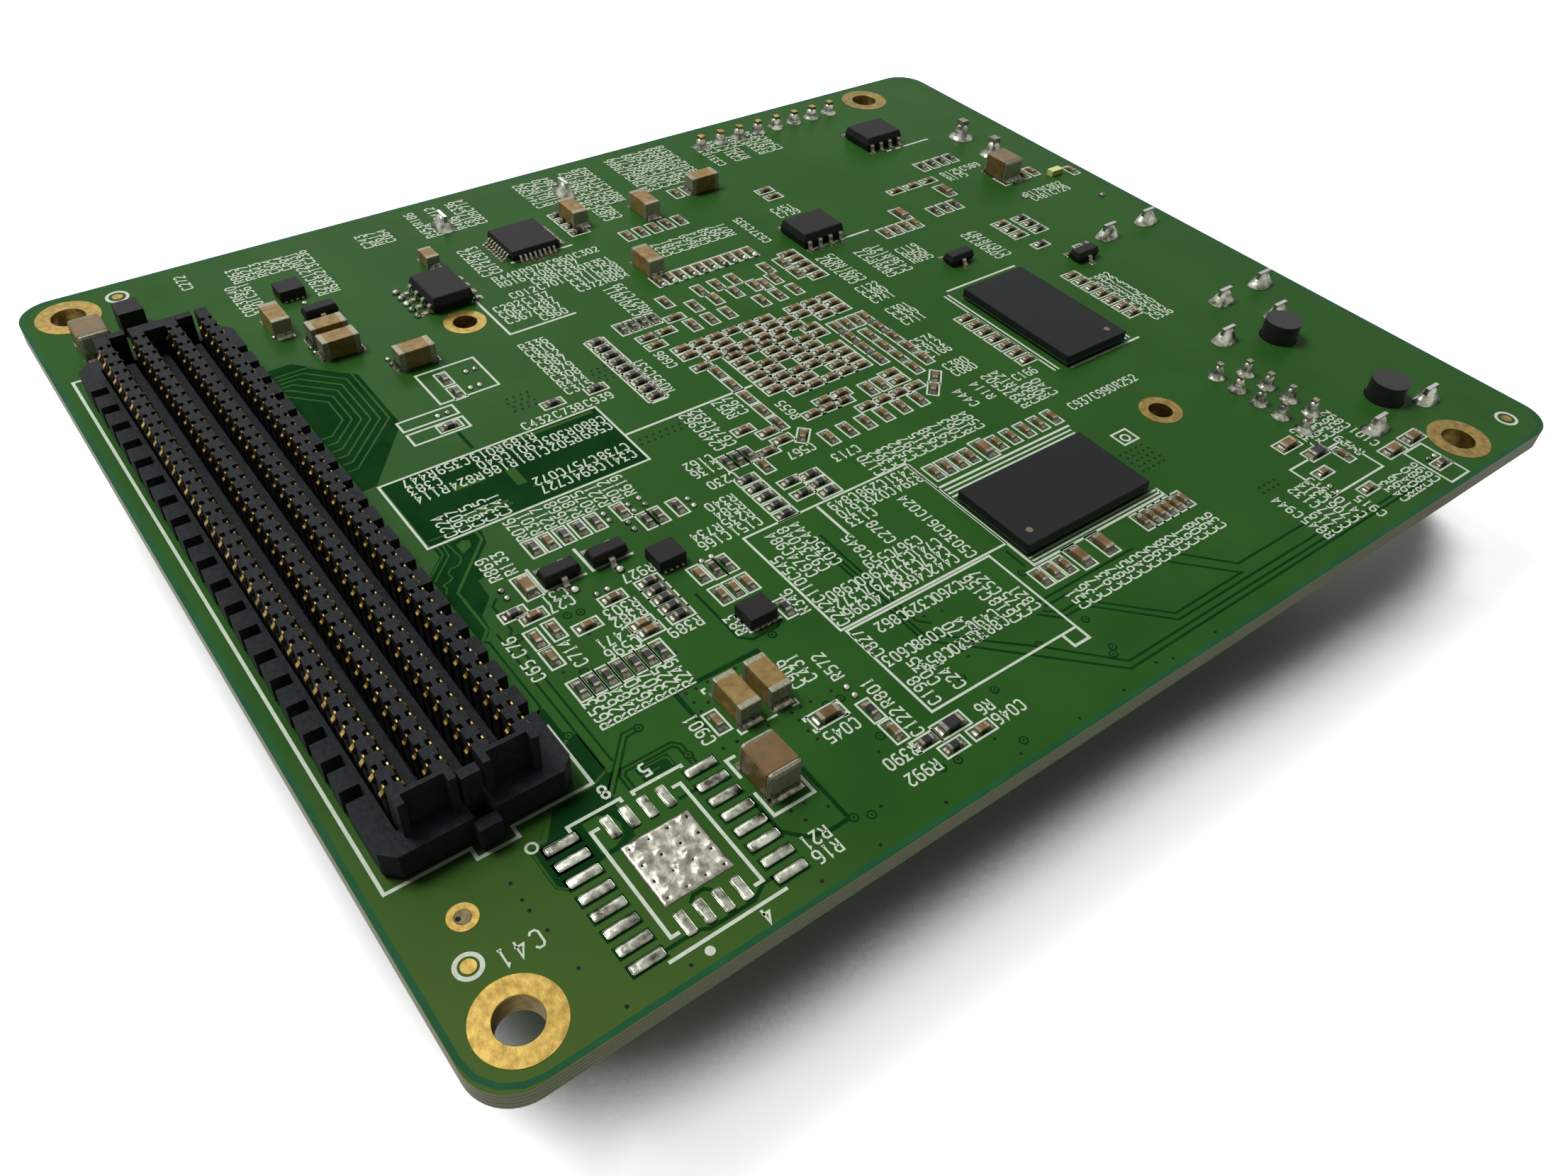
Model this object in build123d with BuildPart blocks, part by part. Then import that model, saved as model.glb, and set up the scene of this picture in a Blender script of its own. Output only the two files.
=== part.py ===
"""An embedded development board, lying on its heat sink and its network jack with the array socket up.

Millimetres. X runs along the front edge, Y towards the back edge and Z up, from the table under the
middle of the laminate.
"""
import os

from build123d import *

# The laminate, and how high its underside stands over the table
board_length = 101.6
board_width = 84.7
board_thickness = 1.6
board_corner_radius = 3.0
stand_height = 12.2

# Mounting holes in the corners, seen from the nearest edges
corner_hole_diameter = 2.9
corner_hole_left_inset = 3.67
corner_hole_right_inset = 9.7
corner_hole_end_inset = 3.56

# The processor under the laminate, and the two holes for its cooler on a circle round it
processor_from_left = 52.3
processor_from_front = 41.65
cooler_hole_diameter = 2.2
cooler_hole_circle = 60.1
cooler_hole_angle = -45.3

# Array socket: four tall ribs that rise from a low base, each rib with a row of contacts on both sides
contact_pitch = 1.27
contacts_in_a_row = 40
rib_count = 4
rib_width = 0.9
rib_rise = 2.8
rib_past_contact = 1.15
notch_depth = 0.3
notch_width = 0.42
divider_width = 0.65
divider_rise = 0.7
divider_end_gap = 1.5
socket_left_gap = 1.72
socket_width = 11.94
socket_from_front = 14.4
socket_length = 55.4
socket_side_wall = 1.5
socket_near_ledge = 1.65
socket_far_ledge = 1.4
near_bar_thickness = 0.3
far_bar_thickness = 1.05
leg_reach = 0.65
end_post_width = 1.2
end_post_thickness = 0.7
end_post_drop = 0.4
socket_lift = 0.3
socket_height = 1.9
socket_floor_thickness = 0.6
socket_foot = 1.2
wall_slot_count = 19
wall_slot_width = 0.93
wall_slot_depth = 1.2
end_slope = 0.85
key_width = 1.45
key_reach = 0.8
key_height = 1.6
key_channel_width = 1.15

# Spring contacts of the array socket
contact_width = 0.3
contact_clearance = 0.03
contact_bulge = 0.22
contact_bulge_drop = 0.9
contact_tip_drop = 0.1

# Memory chips
memory_length = 13.3
memory_width = 7.5
memory_height = 1.1
memory_part_gap = 2.2
memory_print_gap = 1.3
near_memory_offset = (5.05, -24.2)
far_memory_offset = (22.75, -5.85)

# Chip parts by size: length, width and height
size_0402 = (1.0, 0.5, 0.35)
size_0603 = (1.6, 0.8, 0.45)
size_0805 = (2.0, 1.25, 1.2)
size_1206 = (3.2, 1.6, 1.7)
size_1210 = (3.2, 2.5, 2.3)
field_pitch_x = 1.68
field_pitch_y = 1.17
field_columns = 6
field_rows = 7
field_shift = (-0.3, 1.0)

# Small chips with leads
transistor_size = (2.9, 1.3, 1.1)
transistor_lead_pitch = 1.9
transistor_lead_width = 0.42
eight_lead_size = (4.9, 3.9, 1.5)
eight_lead_pitch = 1.27
eight_lead_width = 0.42
lead_knee = 0.55
lead_reach = 0.6
lead_thickness = 0.16
square_chip_side = 5.0
square_chip_height = 1.0
square_chip_lead_pitch = 0.65
square_chip_leads_a_side = 6
square_chip_lead_width = 0.3
square_chip_lead_reach = 0.6
leadless_size = (2.25, 1.95, 1.0)
diode_size = (2.0, 2.1, 2.1)
diode_gap = 5.9
light_size = (1.6, 0.8, 0.6)

# Cooling under the processor
package_side = 23.0
package_substrate = 0.9
package_cap_margin = 0.9
package_cap = 1.3
pad_side = 20.0
pad_thickness = 0.5
sink_side = 30.0
sink_base = 2.5
fin_count = 9
fin_thickness = 1.2

# What pins and tabs have in common
sheet = 0.35
slip = 0.05
tab_width = 1.6
tab_rise = 1.4

# Network jack
jack_width = 16.2
jack_depth = 21.5
jack_from_front = 16.3
jack_cavity_width = 11.8
jack_cavity_depth = 13.0
jack_cavity_height = 7.2
jack_roof = 1.8
latch_width = 6.2
latch_height = 2.0
window_margin = 0.3
peg_diameter = 3.2
peg_spacing = 11.2
peg_from_right = 9.8
peg_rise = 1.8
peg_fit = 0.1
jack_tabs_from_right = (6.9, 14.6)
jack_pin_side = 0.5
jack_pin_pitch = 2.29
jack_pin_rows_from_right = (20.05, 17.4)
jack_pin_counts = (5, 4)
jack_wire_pitch = 1.02
jack_wire_count = 8
jack_wire_width = 0.5
jack_wire_thickness = 0.3
jack_wire_start = 1.5
jack_wire_run = 7.0
jack_wire_drop = 2.1

# Video socket
video_width = 14.9
video_height = 5.6
video_depth = 11.0
video_slope = 1.6
video_from_front = 36.0
video_tabs_from_right = (3.4, 9.3)
video_block = 3.0
video_tongue_width = 11.4
video_tongue_thickness = 1.6
video_tongue_reach = 6.5

# USB socket
usb_width = 13.6
usb_height = 7.0
usb_depth = 14.0
usb_from_left = 43.75
usb_tab_from_back = 5.6
usb_block = 3.5
usb_tongue_width = 11.1
usb_tongue_thickness = 1.9
usb_tongue_reach = 8.8
usb_tongue_lift = 1.0

# Edge header
header_pitch = 2.54
header_pins = 8
header_from_right = 24.4
header_from_back = 4.05
header_body = 2.5
header_pin_side = 0.64
header_pin_drop = 6.0
header_pin_rise = 1.3
header_pin_fit = 0.03

# Power header
power_pitch = 5.08
power_body_length = 10.16
power_body_width = 6.4
power_base = 3.2
power_lock_height = 8.0
power_lock_thickness = 1.0
power_from_right = 6.5
power_from_back = 19.3
power_pin_side = 0.9
power_pin_fit = 0.03
power_pin_drop = 7.2
power_pin_rise = 2.0

# Edges and levels that follow
left, right = -board_length / 2, board_length / 2
front, back = -board_width / 2, board_width / 2
underside = stand_height
surface = stand_height + board_thickness
processor = (left + processor_from_left, front + processor_from_front)
front_left = (left, front)
front_right = (right, front)
back_left = (left, back)
back_right = (right, back)


def patch(x0, y0, x1, y1, mode=Mode.ADD):
    """A rectangle from corner to corner, in the sketch that is open."""
    with Locations(((x0 + x1) / 2, (y0 + y1) / 2)):
        Rectangle(x1 - x0, y1 - y0, mode=mode)


def outline(*points):
    """A closed outline through the points, filled, in the sketch that is open."""
    Polygon(*points, align=None)


def row(x, y, count=1, dx=0.0, dy=0.0):
    """Offsets of a straight row of parts."""
    return [(x + dx * step, y + dy * step) for step in range(count)]


def seats(zone, offsets, turn=0):
    """Places on the laminate, from a corner or a part that the offsets are measured from."""
    return [Location((zone[0] + x, zone[1] + y, 0), (0, 0, turn)) for x, y in offsets]


def blocks(places, size):
    """A block of one size on the laminate at each place, in the part that is open."""
    with Locations(*places):
        Box(*size, align=(Align.CENTER, Align.CENTER, Align.MIN))


def turned(places):
    """The same places, turned by a quarter."""
    return [place * Location((0, 0, 0), (0, 0, 90)) for place in places]


def centred(count, pitch):
    """Steps of a row, measured from its middle."""
    return [(step - (count - 1) / 2) * pitch for step in range(count)]


def finish(builder, name):
    """Label the part and write its file."""
    builder.part.label = name
    export_step(builder.part, f"parts/{name}.step")


os.makedirs("parts", exist_ok=True)

# Where the sockets on the underside stand
jack_y = front + jack_from_front
jack_tab_seats = [
    (right - inset, jack_y + side * (jack_width - sheet) / 2)
    for inset in jack_tabs_from_right
    for side in (-1, 1)
]
jack_pin_seats = [
    (right - inset, jack_y + step)
    for inset, count in zip(jack_pin_rows_from_right, jack_pin_counts)
    for step in centred(count, jack_pin_pitch)
]
peg_seats = [(right - peg_from_right, jack_y + side * peg_spacing / 2) for side in (-1, 1)]
video_y = front + video_from_front
video_tab_seats = [
    (right - inset, video_y + side * (video_width - sheet) / 2)
    for inset in video_tabs_from_right
    for side in (-1, 1)
]
usb_x = left + usb_from_left
usb_tab_seats = [(usb_x + side * (usb_width - sheet) / 2, back - usb_tab_from_back) for side in (-1, 1)]
header_x = right - header_from_right
header_y = back - header_from_back
header_seats = [(header_x + step, header_y) for step in centred(header_pins, header_pitch)]
power_x = right - power_from_right
power_y = back - power_from_back
power_seats = [(power_x, power_y + step) for step in centred(2, power_pitch)]

# The laminate, with its round holes and the slots that pins and tabs come through
corner_hole_seats = [
    (x, y)
    for x in (left + corner_hole_left_inset, right - corner_hole_right_inset)
    for y in (front + corner_hole_end_inset, back - corner_hole_end_inset)
]
round_holes = [
    (corner_hole_seats, corner_hole_diameter),
    (peg_seats, peg_diameter + 2 * peg_fit),
]
slots = [
    (jack_pin_seats, jack_pin_side, jack_pin_side),
    (header_seats, header_pin_side, header_pin_side),
    (power_seats, power_pin_side, power_pin_side),
    (jack_tab_seats, tab_width, sheet),
    (video_tab_seats, tab_width, sheet),
    (usb_tab_seats, sheet, tab_width),
]
with BuildPart() as circuit_board:
    with BuildSketch(Plane.XY.offset(underside)):
        RectangleRounded(board_length, board_width, board_corner_radius)
        for places, diameter in round_holes:
            with Locations(*places):
                Circle(diameter / 2, mode=Mode.SUBTRACT)
        with Locations(processor), PolarLocations(cooler_hole_circle / 2, 2, start_angle=cooler_hole_angle):
            Circle(cooler_hole_diameter / 2, mode=Mode.SUBTRACT)
        for places, length, width in slots:
            with Locations(*places):
                Rectangle(length + 2 * slip, width + 2 * slip, mode=Mode.SUBTRACT)
    extrude(amount=board_thickness)
finish(circuit_board, "circuit_board")

# Array socket housing
socket_left = left + socket_left_gap
socket_right = socket_left + socket_width
socket_front = front + socket_from_front
socket_back = socket_front + socket_length
socket_middle = socket_left + socket_width / 2
socket_base = surface + socket_lift
socket_floor = socket_base + socket_floor_thickness
socket_top = socket_base + socket_height
rib_top = socket_top + rib_rise
well_left = socket_left + socket_side_wall
well_right = socket_right - socket_side_wall
well_front = socket_front + socket_near_ledge
well_back = socket_back - socket_far_ledge
rib_pitch = 2 * contact_pitch
rib_xs = [socket_middle + step for step in centred(rib_count, rib_pitch)]
contact_ys = [well_front + rib_past_contact + step * contact_pitch for step in range(contacts_in_a_row)]
slot_ys = [contact_ys[0] + (step + 1) * rib_pitch for step in range(wall_slot_count)]

with BuildPart() as array_socket_housing:
    with BuildSketch(Plane.XY.offset(socket_base)):
        outline(
            (socket_left + end_slope, socket_front),
            (socket_right - end_slope, socket_front),
            (socket_right, socket_front + end_slope),
            (socket_right, socket_back - end_slope),
            (socket_right - end_slope, socket_back),
            (socket_left + end_slope, socket_back),
            (socket_left, socket_back - end_slope),
            (socket_left, socket_front + end_slope),
        )
    extrude(amount=socket_height)
    with BuildSketch(Plane.XY.offset(socket_floor)):
        patch(well_left, well_front, well_right, well_back)
    extrude(amount=socket_top - socket_floor, mode=Mode.SUBTRACT)
    # The ribs, with a notch behind every contact
    with BuildSketch(Plane.XY.offset(socket_floor)):
        for rib_x in rib_xs:
            patch(rib_x - rib_width / 2, well_front, rib_x + rib_width / 2, well_back)
        with Locations(*[
            (rib_x + side * (rib_width - notch_depth) / 2, y)
            for rib_x in rib_xs
            for side in (-1, 1)
            for y in contact_ys
        ]):
            Rectangle(notch_depth, notch_width, mode=Mode.SUBTRACT)
    extrude(amount=rib_top - socket_floor)
    # Bars join the outer ribs in pairs at the near end, and the inner pair at the far end
    with BuildSketch(Plane.XY.offset(socket_floor)):
        for first, second in (rib_xs[:2], rib_xs[2:]):
            patch(first, well_front, second, well_front + near_bar_thickness)
        patch(rib_xs[1], well_back - far_bar_thickness, rib_xs[2], well_back)
    extrude(amount=rib_top - socket_floor)
    # The outer half of each rib reaches forward over the base as a leg
    with BuildSketch(Plane.XY.offset(socket_floor)):
        for rib_x, side in zip(rib_xs, (-1, 1, -1, 1)):
            edge_x = rib_x + side * rib_width / 2
            patch(min(rib_x, edge_x), well_front - leg_reach, max(rib_x, edge_x), well_front)
    extrude(amount=rib_top - socket_floor)
    # Low dividers between the ribs
    with BuildSketch(Plane.XY.offset(socket_floor)):
        for rib_x in rib_xs[:-1]:
            divider_x = rib_x + contact_pitch
            divider_back = well_back - divider_end_gap
            patch(divider_x - divider_width / 2, well_front, divider_x + divider_width / 2, divider_back)
    extrude(amount=socket_top + divider_rise - socket_floor)
    # Posts close the gaps between ribs that have no bar
    with BuildSketch(Plane.XY.offset(socket_floor)):
        post_x = socket_middle - end_post_width / 2
        post_front = well_front - leg_reach
        patch(post_x, post_front, post_x + end_post_width, post_front + end_post_thickness)
        for rib_x in (rib_xs[0], rib_xs[2]):
            post_x = rib_x + contact_pitch - end_post_width / 2
            patch(post_x, well_back, post_x + end_post_width, well_back + end_post_thickness)
    extrude(amount=rib_top - end_post_drop - socket_floor)
    # The channel behind the key
    with BuildSketch(Plane.XY.offset(socket_floor)):
        patch(
            socket_middle - key_channel_width / 2,
            socket_front,
            socket_middle + key_channel_width / 2,
            well_front - leg_reach,
        )
    extrude(amount=socket_top - socket_floor, mode=Mode.SUBTRACT)
    # The polarising key in front
    with BuildSketch(Plane.XY.offset(socket_base)):
        patch(
            socket_middle - key_width / 2,
            socket_front - key_reach,
            socket_middle + key_width / 2,
            socket_front,
        )
    extrude(amount=key_height)
    # Slots down the outer faces of both side walls
    slot_xs = (socket_left + wall_slot_depth / 2, socket_right - wall_slot_depth / 2)
    with BuildSketch(Plane.XY.offset(socket_base)):
        with Locations(*[(x, y) for x in slot_xs for y in slot_ys]):
            Rectangle(wall_slot_depth, wall_slot_width)
    extrude(amount=socket_height, mode=Mode.SUBTRACT)
    # Feet
    with BuildSketch(Plane.XY.offset(surface)):
        foot_x = socket_width / 2 - end_slope - 2 * socket_foot
        foot_y = socket_length / 2 - socket_foot
        with Locations((socket_middle, (socket_front + socket_back) / 2)):
            with GridLocations(2 * foot_x, 2 * foot_y, 2, 2):
                Rectangle(socket_foot, socket_foot)
    extrude(amount=socket_lift)
finish(array_socket_housing, "array_socket_housing")

# Spring contacts: each rises along its notch, bulges into the groove and tucks its tip back
with BuildPart() as array_socket_contacts:
    contact_planes = [Plane.XZ.offset(-y - contact_width / 2) for y in contact_ys]
    bulge_z = rib_top - contact_bulge_drop
    tip_z = rib_top - contact_tip_drop
    for rib_x in rib_xs:
        for side in (-1, 1):
            back_x = rib_x + side * (rib_width / 2 - notch_depth + contact_clearance)
            bulge_x = rib_x + side * (rib_width / 2 + contact_bulge)
            with BuildSketch(*contact_planes):
                outline((back_x, socket_floor), (bulge_x, bulge_z), (back_x, tip_z))
            extrude(amount=contact_width)
finish(array_socket_contacts, "array_socket_contacts")

# Memory chips
near_memory = (processor[0] + near_memory_offset[0], processor[1] + near_memory_offset[1])
far_memory = (processor[0] + far_memory_offset[0], processor[1] + far_memory_offset[1])
with BuildPart(Plane.XY.offset(surface)) as memory_chip_near:
    blocks([near_memory], (memory_length, memory_width, memory_height))
finish(memory_chip_near, "memory_chip_near")

with BuildPart(Plane.XY.offset(surface)) as memory_chip_far:
    blocks([far_memory], (memory_width, memory_length, memory_height))
finish(memory_chip_far, "memory_chip_far")

# Small capacitors: in the power section, beside the memories, and in the field over the processor
field_seats = [
    (x + field_shift[0], y + field_shift[1])
    for i, x in enumerate(centred(field_columns, field_pitch_x))
    for j, y in enumerate(centred(field_rows, field_pitch_y))
    if (3 * i + 5 * j) % 7
]
below_memory = -memory_width / 2 - memory_part_gap
above_memory = memory_width / 2 + memory_part_gap + memory_print_gap
lying_capacitors = (
    seats(front_left, [(18.4, 28.3), (20.9, 25.5), (23.7, 26.8), (24.0, 23.6), (24.1, 22.8), (36.6, 3.8)])
    + seats(processor, field_seats)
    + seats(processor, row(0.5, -7.35, 4, dx=1.75))
    + seats(far_memory, row(below_memory, -3.9, 7, dy=1.3))
    + seats(front_right, [(-23.6, 7.3)])
)
upright_capacitors = (
    seats(front_left, [(23.2, 13.8), (17.5, 26.3), (17.5, 24.3), (18.9, 26.4), (29.9, 25.4), (31.9, 6.9)])
    + seats(front_left, row(30.0, 22.9, 3, dx=1.1) + [(22.9, 34.2), (29.0, 34.2), (41.0, 32.7)])
    + seats(processor, row(-7.1, -5.2, 5, dy=2.1) + row(7.6, -5.2, 4, dy=2.0))
    + seats(processor, row(-4.8, -8.95, 6, dx=1.92) + row(2.2, -5.55, 2, dx=1.3))
    + seats(near_memory, row(-5.75, above_memory, 4, dx=1.25) + row(1.05, above_memory, 5, dx=1.6))
    + seats(near_memory, row(-7.4, below_memory, 3, dx=1.2) + row(3.65, below_memory, 6, dx=0.92))
    + seats(front_right, [(-20.1, 7.8)])
)
sloping_capacitors = seats(processor, [(8.2, -7.3), (6.9, -8.5), (-6.4, -7.6)], turn=45)
small_capacitor_seats = lying_capacitors + turned(upright_capacitors) + sloping_capacitors
larger_capacitor_seats = (
    seats(front_left, [(29.3, 10.3)])
    + seats(front_left, [(19.4, 31.0)], turn=90)
    + seats(near_memory, [(-3.4, below_memory), (-0.9, below_memory), (-0.35, above_memory)], turn=90)
    + seats(front_right, [(-23.0, 11.2), (-16.0, 5.8), (-13.0, 5.9)])
)
with BuildPart(Plane.XY.offset(surface)) as chip_capacitors:
    blocks(small_capacitor_seats, size_0402)
    blocks(larger_capacitor_seats, size_0603)
finish(chip_capacitors, "chip_capacitors")

# Small resistors
lying_resistors = (
    seats(front_left, [(17.4, 29.2), (33.0, 5.1), (34.2, 3.8)])
    + seats(front_left, row(26.6, 22.9, 5, dy=0.96) + row(38.9, 27.2, 5, dy=1.2))
    + seats(front_left, row(43.3, 27.5, 3, dy=1.15) + row(41.5, 28.4, 2, dy=1.6))
    + seats(front_left, [(23.3, 50.2)])
    + seats(front_right, [(-14.1, 2.5)])
)
upright_resistors = (
    seats(front_left, row(17.6, 20.9, 7, dx=1.02) + row(31.1, 25.3, 2, dx=1.0) + [(21.7, 34.2)])
    + seats(front_left, row(24.2, 34.2, 3, dx=1.3) + row(30.0, 32.3, 2, dx=1.0) + [(32.7, 32.3)])
    + seats(front_left, row(38.8, 34.5, 3, dx=1.0) + [(32.9, 19.4), (31.8, 9.0)])
    + seats(front_left, [(25.8, 56.2), (25.8, 54.0)])
)
with BuildPart(Plane.XY.offset(surface)) as chip_resistors:
    blocks(lying_resistors, size_0402)
    blocks(turned(upright_resistors), size_0402)
    blocks(seats(front_left, [(35.2, 5.2)]) + seats(front_right, [(-21.8, 9.2)]), size_0603)
finish(chip_resistors, "chip_resistors")

# Large ceramic capacitors
upright_1206 = seats(front_left, [(24.95, 14.2), (27.4, 14.25)], turn=90) + seats(
    back_left, [(17.5, -14.3), (48.3, -11.0), (55.2, -13.1), (49.5, -22.5)], turn=90
)
lying_1206 = seats(back_left, [(20.5, -20.3), (20.5, -17.9), (25.0, -25.0), (62.9, -11.9)])
upright_1210 = (
    seats(front_left, [(23.4, 8.6)], turn=90)
    + seats(back_left, [(4.2, -9.5)], turn=90)
    + seats(back_right, [(-9.1, -26.0)], turn=90)
)
with BuildPart(Plane.XY.offset(surface)) as bulk_capacitors:
    blocks(upright_1206 + lying_1206, size_1206)
    blocks(upright_1210, size_1210)
    blocks(seats(back_left, [(33.0, -11.2)], turn=90), size_0805)
finish(bulk_capacitors, "bulk_capacitors")

# Three-lead transistors: one lead in front and two behind
transistor_seats = seats(front_left, [(21.7, 30.6), (25.45, 30.5)]) + seats(
    back_left, [(21.3, -14.3), (75.7, -37.0), (86.9, -43.1)]
)
with BuildPart(Plane.XY.offset(surface)) as small_transistors:
    blocks(transistor_seats, transistor_size)
finish(small_transistors, "small_transistors")


def bent_lead(width):
    """A lead that comes down a chip's side, towards +X, and ends in a flat foot."""
    with BuildPart() as lead:
        with BuildSketch(Plane.XZ.offset(-width / 2)):
            outline(
                (0, 0),
                (lead_reach, 0),
                (lead_reach, lead_thickness),
                (lead_thickness, lead_thickness),
                (lead_thickness, lead_knee),
                (0, lead_knee),
            )
        extrude(amount=width)
    return lead.part


def side_seats(place, half_width, steps, turn):
    """Places along one side of a chip, turned so that +X points away from it."""
    return [place * Location((0, 0, 0), (0, 0, turn)) * Location((half_width, step, 0)) for step in steps]


transistor_lead_seats = [
    seat
    for place in transistor_seats
    for seat in side_seats(place, transistor_size[1] / 2, [0], -90)
    + side_seats(place, transistor_size[1] / 2, centred(2, transistor_lead_pitch), 90)
]
with BuildPart(Plane.XY.offset(surface)) as transistor_leads:
    with Locations(*transistor_lead_seats):
        add(bent_lead(transistor_lead_width))
finish(transistor_leads, "transistor_leads")

# Eight-lead chips
eight_lead_seats = (
    seats(processor, [(14.35, 17.55)])
    + seats(back_left, [(31.4, -16.9)], turn=90)
    + seats(back_right, [(-15.9, -12.4)])
)
with BuildPart(Plane.XY.offset(surface)) as eight_lead_chips:
    blocks(eight_lead_seats, eight_lead_size)
finish(eight_lead_chips, "eight_lead_chips")

eight_lead_foot_seats = [
    seat
    for place in eight_lead_seats
    for turn in (-90, 90)
    for seat in side_seats(place, eight_lead_size[1] / 2, centred(4, eight_lead_pitch), turn)
]
with BuildPart(Plane.XY.offset(surface)) as eight_lead_chip_leads:
    with Locations(*eight_lead_foot_seats):
        add(bent_lead(eight_lead_width))
finish(eight_lead_chip_leads, "eight_lead_chip_leads")

# Square chip with leads on all four sides
square_chip_seat = seats(back_left, [(42.0, -12.5)])[0]
with BuildPart(Plane.XY.offset(surface)) as square_chip:
    blocks([square_chip_seat], (square_chip_side, square_chip_side, square_chip_height))
finish(square_chip, "square_chip")

square_lead_steps = centred(square_chip_leads_a_side, square_chip_lead_pitch)
square_lead_middle = (square_chip_side + square_chip_lead_reach) / 2
with BuildPart(Plane.XY.offset(surface)) as square_chip_leads:
    blocks(
        [
            seat
            for turn in (0, 90, 180, 270)
            for seat in side_seats(square_chip_seat, square_lead_middle, square_lead_steps, turn)
        ],
        (square_chip_lead_reach, square_chip_lead_width, lead_thickness),
    )
finish(square_chip_leads, "square_chip_leads")

# Leadless power chips, the diode block behind the socket and the status light
with BuildPart(Plane.XY.offset(surface)) as leadless_chips:
    leadless_seats = seats(front_left, [(28.8, 28.0), (30.75, 19.9)]) + seats(back_left, [(20.4, -9.7)])
    blocks(leadless_seats, leadless_size)
finish(leadless_chips, "leadless_chips")

with BuildPart(Plane.XY.offset(surface)) as diode_block:
    blocks([(socket_middle, socket_back + diode_gap + diode_size[1] / 2)], diode_size)
finish(diode_block, "diode_block")

with BuildPart(Plane.XY.offset(surface)) as status_light:
    blocks(seats(back_right, [(-3.8, -28.8)]), light_size)
finish(status_light, "status_light")

# Processor under the laminate: its substrate with a moulded cap
package_bottom = underside - package_substrate - package_cap
with BuildPart() as processor_package:
    with BuildSketch(Plane.XY.offset(package_bottom)):
        with Locations(processor):
            Rectangle(package_side - 2 * package_cap_margin, package_side - 2 * package_cap_margin)
    extrude(amount=package_cap)
    with BuildSketch(Plane.XY.offset(underside - package_substrate)):
        with Locations(processor):
            Rectangle(package_side, package_side)
    extrude(amount=package_substrate)
finish(processor_package, "processor_package")

sink_top = package_bottom - pad_thickness
with BuildPart() as thermal_pad:
    with BuildSketch(Plane.XY.offset(sink_top)):
        with Locations(processor):
            Rectangle(pad_side, pad_side)
    extrude(amount=pad_thickness)
finish(thermal_pad, "thermal_pad")

# Heat sink: a base with straight fins, whose tips stand on the table
fin_pitch = (sink_side - fin_thickness) / (fin_count - 1)
with BuildPart() as heat_sink:
    with BuildSketch(Plane.XY):
        with Locations(processor), GridLocations(fin_pitch, 1, fin_count, 1):
            Rectangle(fin_thickness, sink_side)
    extrude(amount=sink_top - sink_base)
    with BuildSketch(Plane.XY.offset(sink_top - sink_base)):
        with Locations(processor):
            Rectangle(sink_side, sink_side)
    extrude(amount=sink_base)
finish(heat_sink, "heat_sink")

# Network jack: a folded shield round a moulding, resting on the table
jack_front = right - jack_depth
jack_half = jack_width / 2
cavity_roof = underside - jack_roof
cavity_floor = cavity_roof - jack_cavity_height
latch_floor = cavity_floor - latch_height
with BuildPart() as network_jack_shell:
    with BuildSketch(Plane.XY):
        patch(jack_front, jack_y - jack_half, right, jack_y + jack_half)
    extrude(amount=underside)
    with BuildSketch(Plane.XY.offset(sheet)):
        patch(jack_front + sheet, jack_y - jack_half + sheet, right - sheet, jack_y + jack_half - sheet)
    extrude(amount=underside - sheet, mode=Mode.SUBTRACT)
    with BuildSketch(Plane.YZ.offset(right - sheet)):
        window_half = jack_cavity_width / 2 + window_margin
        patch(
            jack_y - window_half,
            latch_floor - window_margin,
            jack_y + window_half,
            cavity_roof + window_margin,
        )
    extrude(amount=sheet, mode=Mode.SUBTRACT)
    with BuildSketch(Plane.XY.offset(underside)):
        with Locations(*jack_tab_seats):
            Rectangle(tab_width, sheet)
    extrude(amount=board_thickness + tab_rise)
finish(network_jack_shell, "network_jack_shell")

jack_skin = sheet + slip
with BuildPart() as network_jack_housing:
    with BuildSketch(Plane.XY.offset(jack_skin)):
        patch(
            jack_front + jack_skin,
            jack_y - jack_half + jack_skin,
            right - jack_skin,
            jack_y + jack_half - jack_skin,
        )
    extrude(amount=underside - jack_skin)
    with BuildSketch(Plane.YZ.offset(right - jack_cavity_depth)):
        patch(jack_y - jack_cavity_width / 2, cavity_floor, jack_y + jack_cavity_width / 2, cavity_roof)
        patch(jack_y - latch_width / 2, latch_floor, jack_y + latch_width / 2, cavity_floor)
    extrude(amount=jack_cavity_depth, mode=Mode.SUBTRACT)
    with BuildSketch(Plane.XY.offset(underside)):
        with Locations(*peg_seats):
            Circle(peg_diameter / 2)
    extrude(amount=board_thickness + peg_rise)
finish(network_jack_housing, "network_jack_housing")

with BuildPart() as network_jack_contacts:
    wire_front = right - jack_wire_start
    wire_back = wire_front - jack_wire_run
    wire_end = cavity_roof - jack_wire_drop
    wire_planes = [
        Plane.XZ.offset(-(jack_y + step + jack_wire_width / 2))
        for step in centred(jack_wire_count, jack_wire_pitch)
    ]
    with BuildSketch(*wire_planes):
        outline(
            (wire_front, cavity_roof),
            (wire_back, wire_end),
            (wire_back, wire_end - jack_wire_thickness),
            (wire_front, cavity_roof - jack_wire_thickness),
        )
    extrude(amount=jack_wire_width)
finish(network_jack_contacts, "network_jack_contacts")

with BuildPart(Plane.XY.offset(underside)) as network_jack_pins:
    blocks(jack_pin_seats, (jack_pin_side, jack_pin_side, board_thickness + tab_rise))
finish(network_jack_pins, "network_jack_pins")

# Video socket: a shell with sloped corners next to the laminate, and an insert with a tongue
video_bottom = underside - video_height
video_back = right - video_depth


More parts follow.
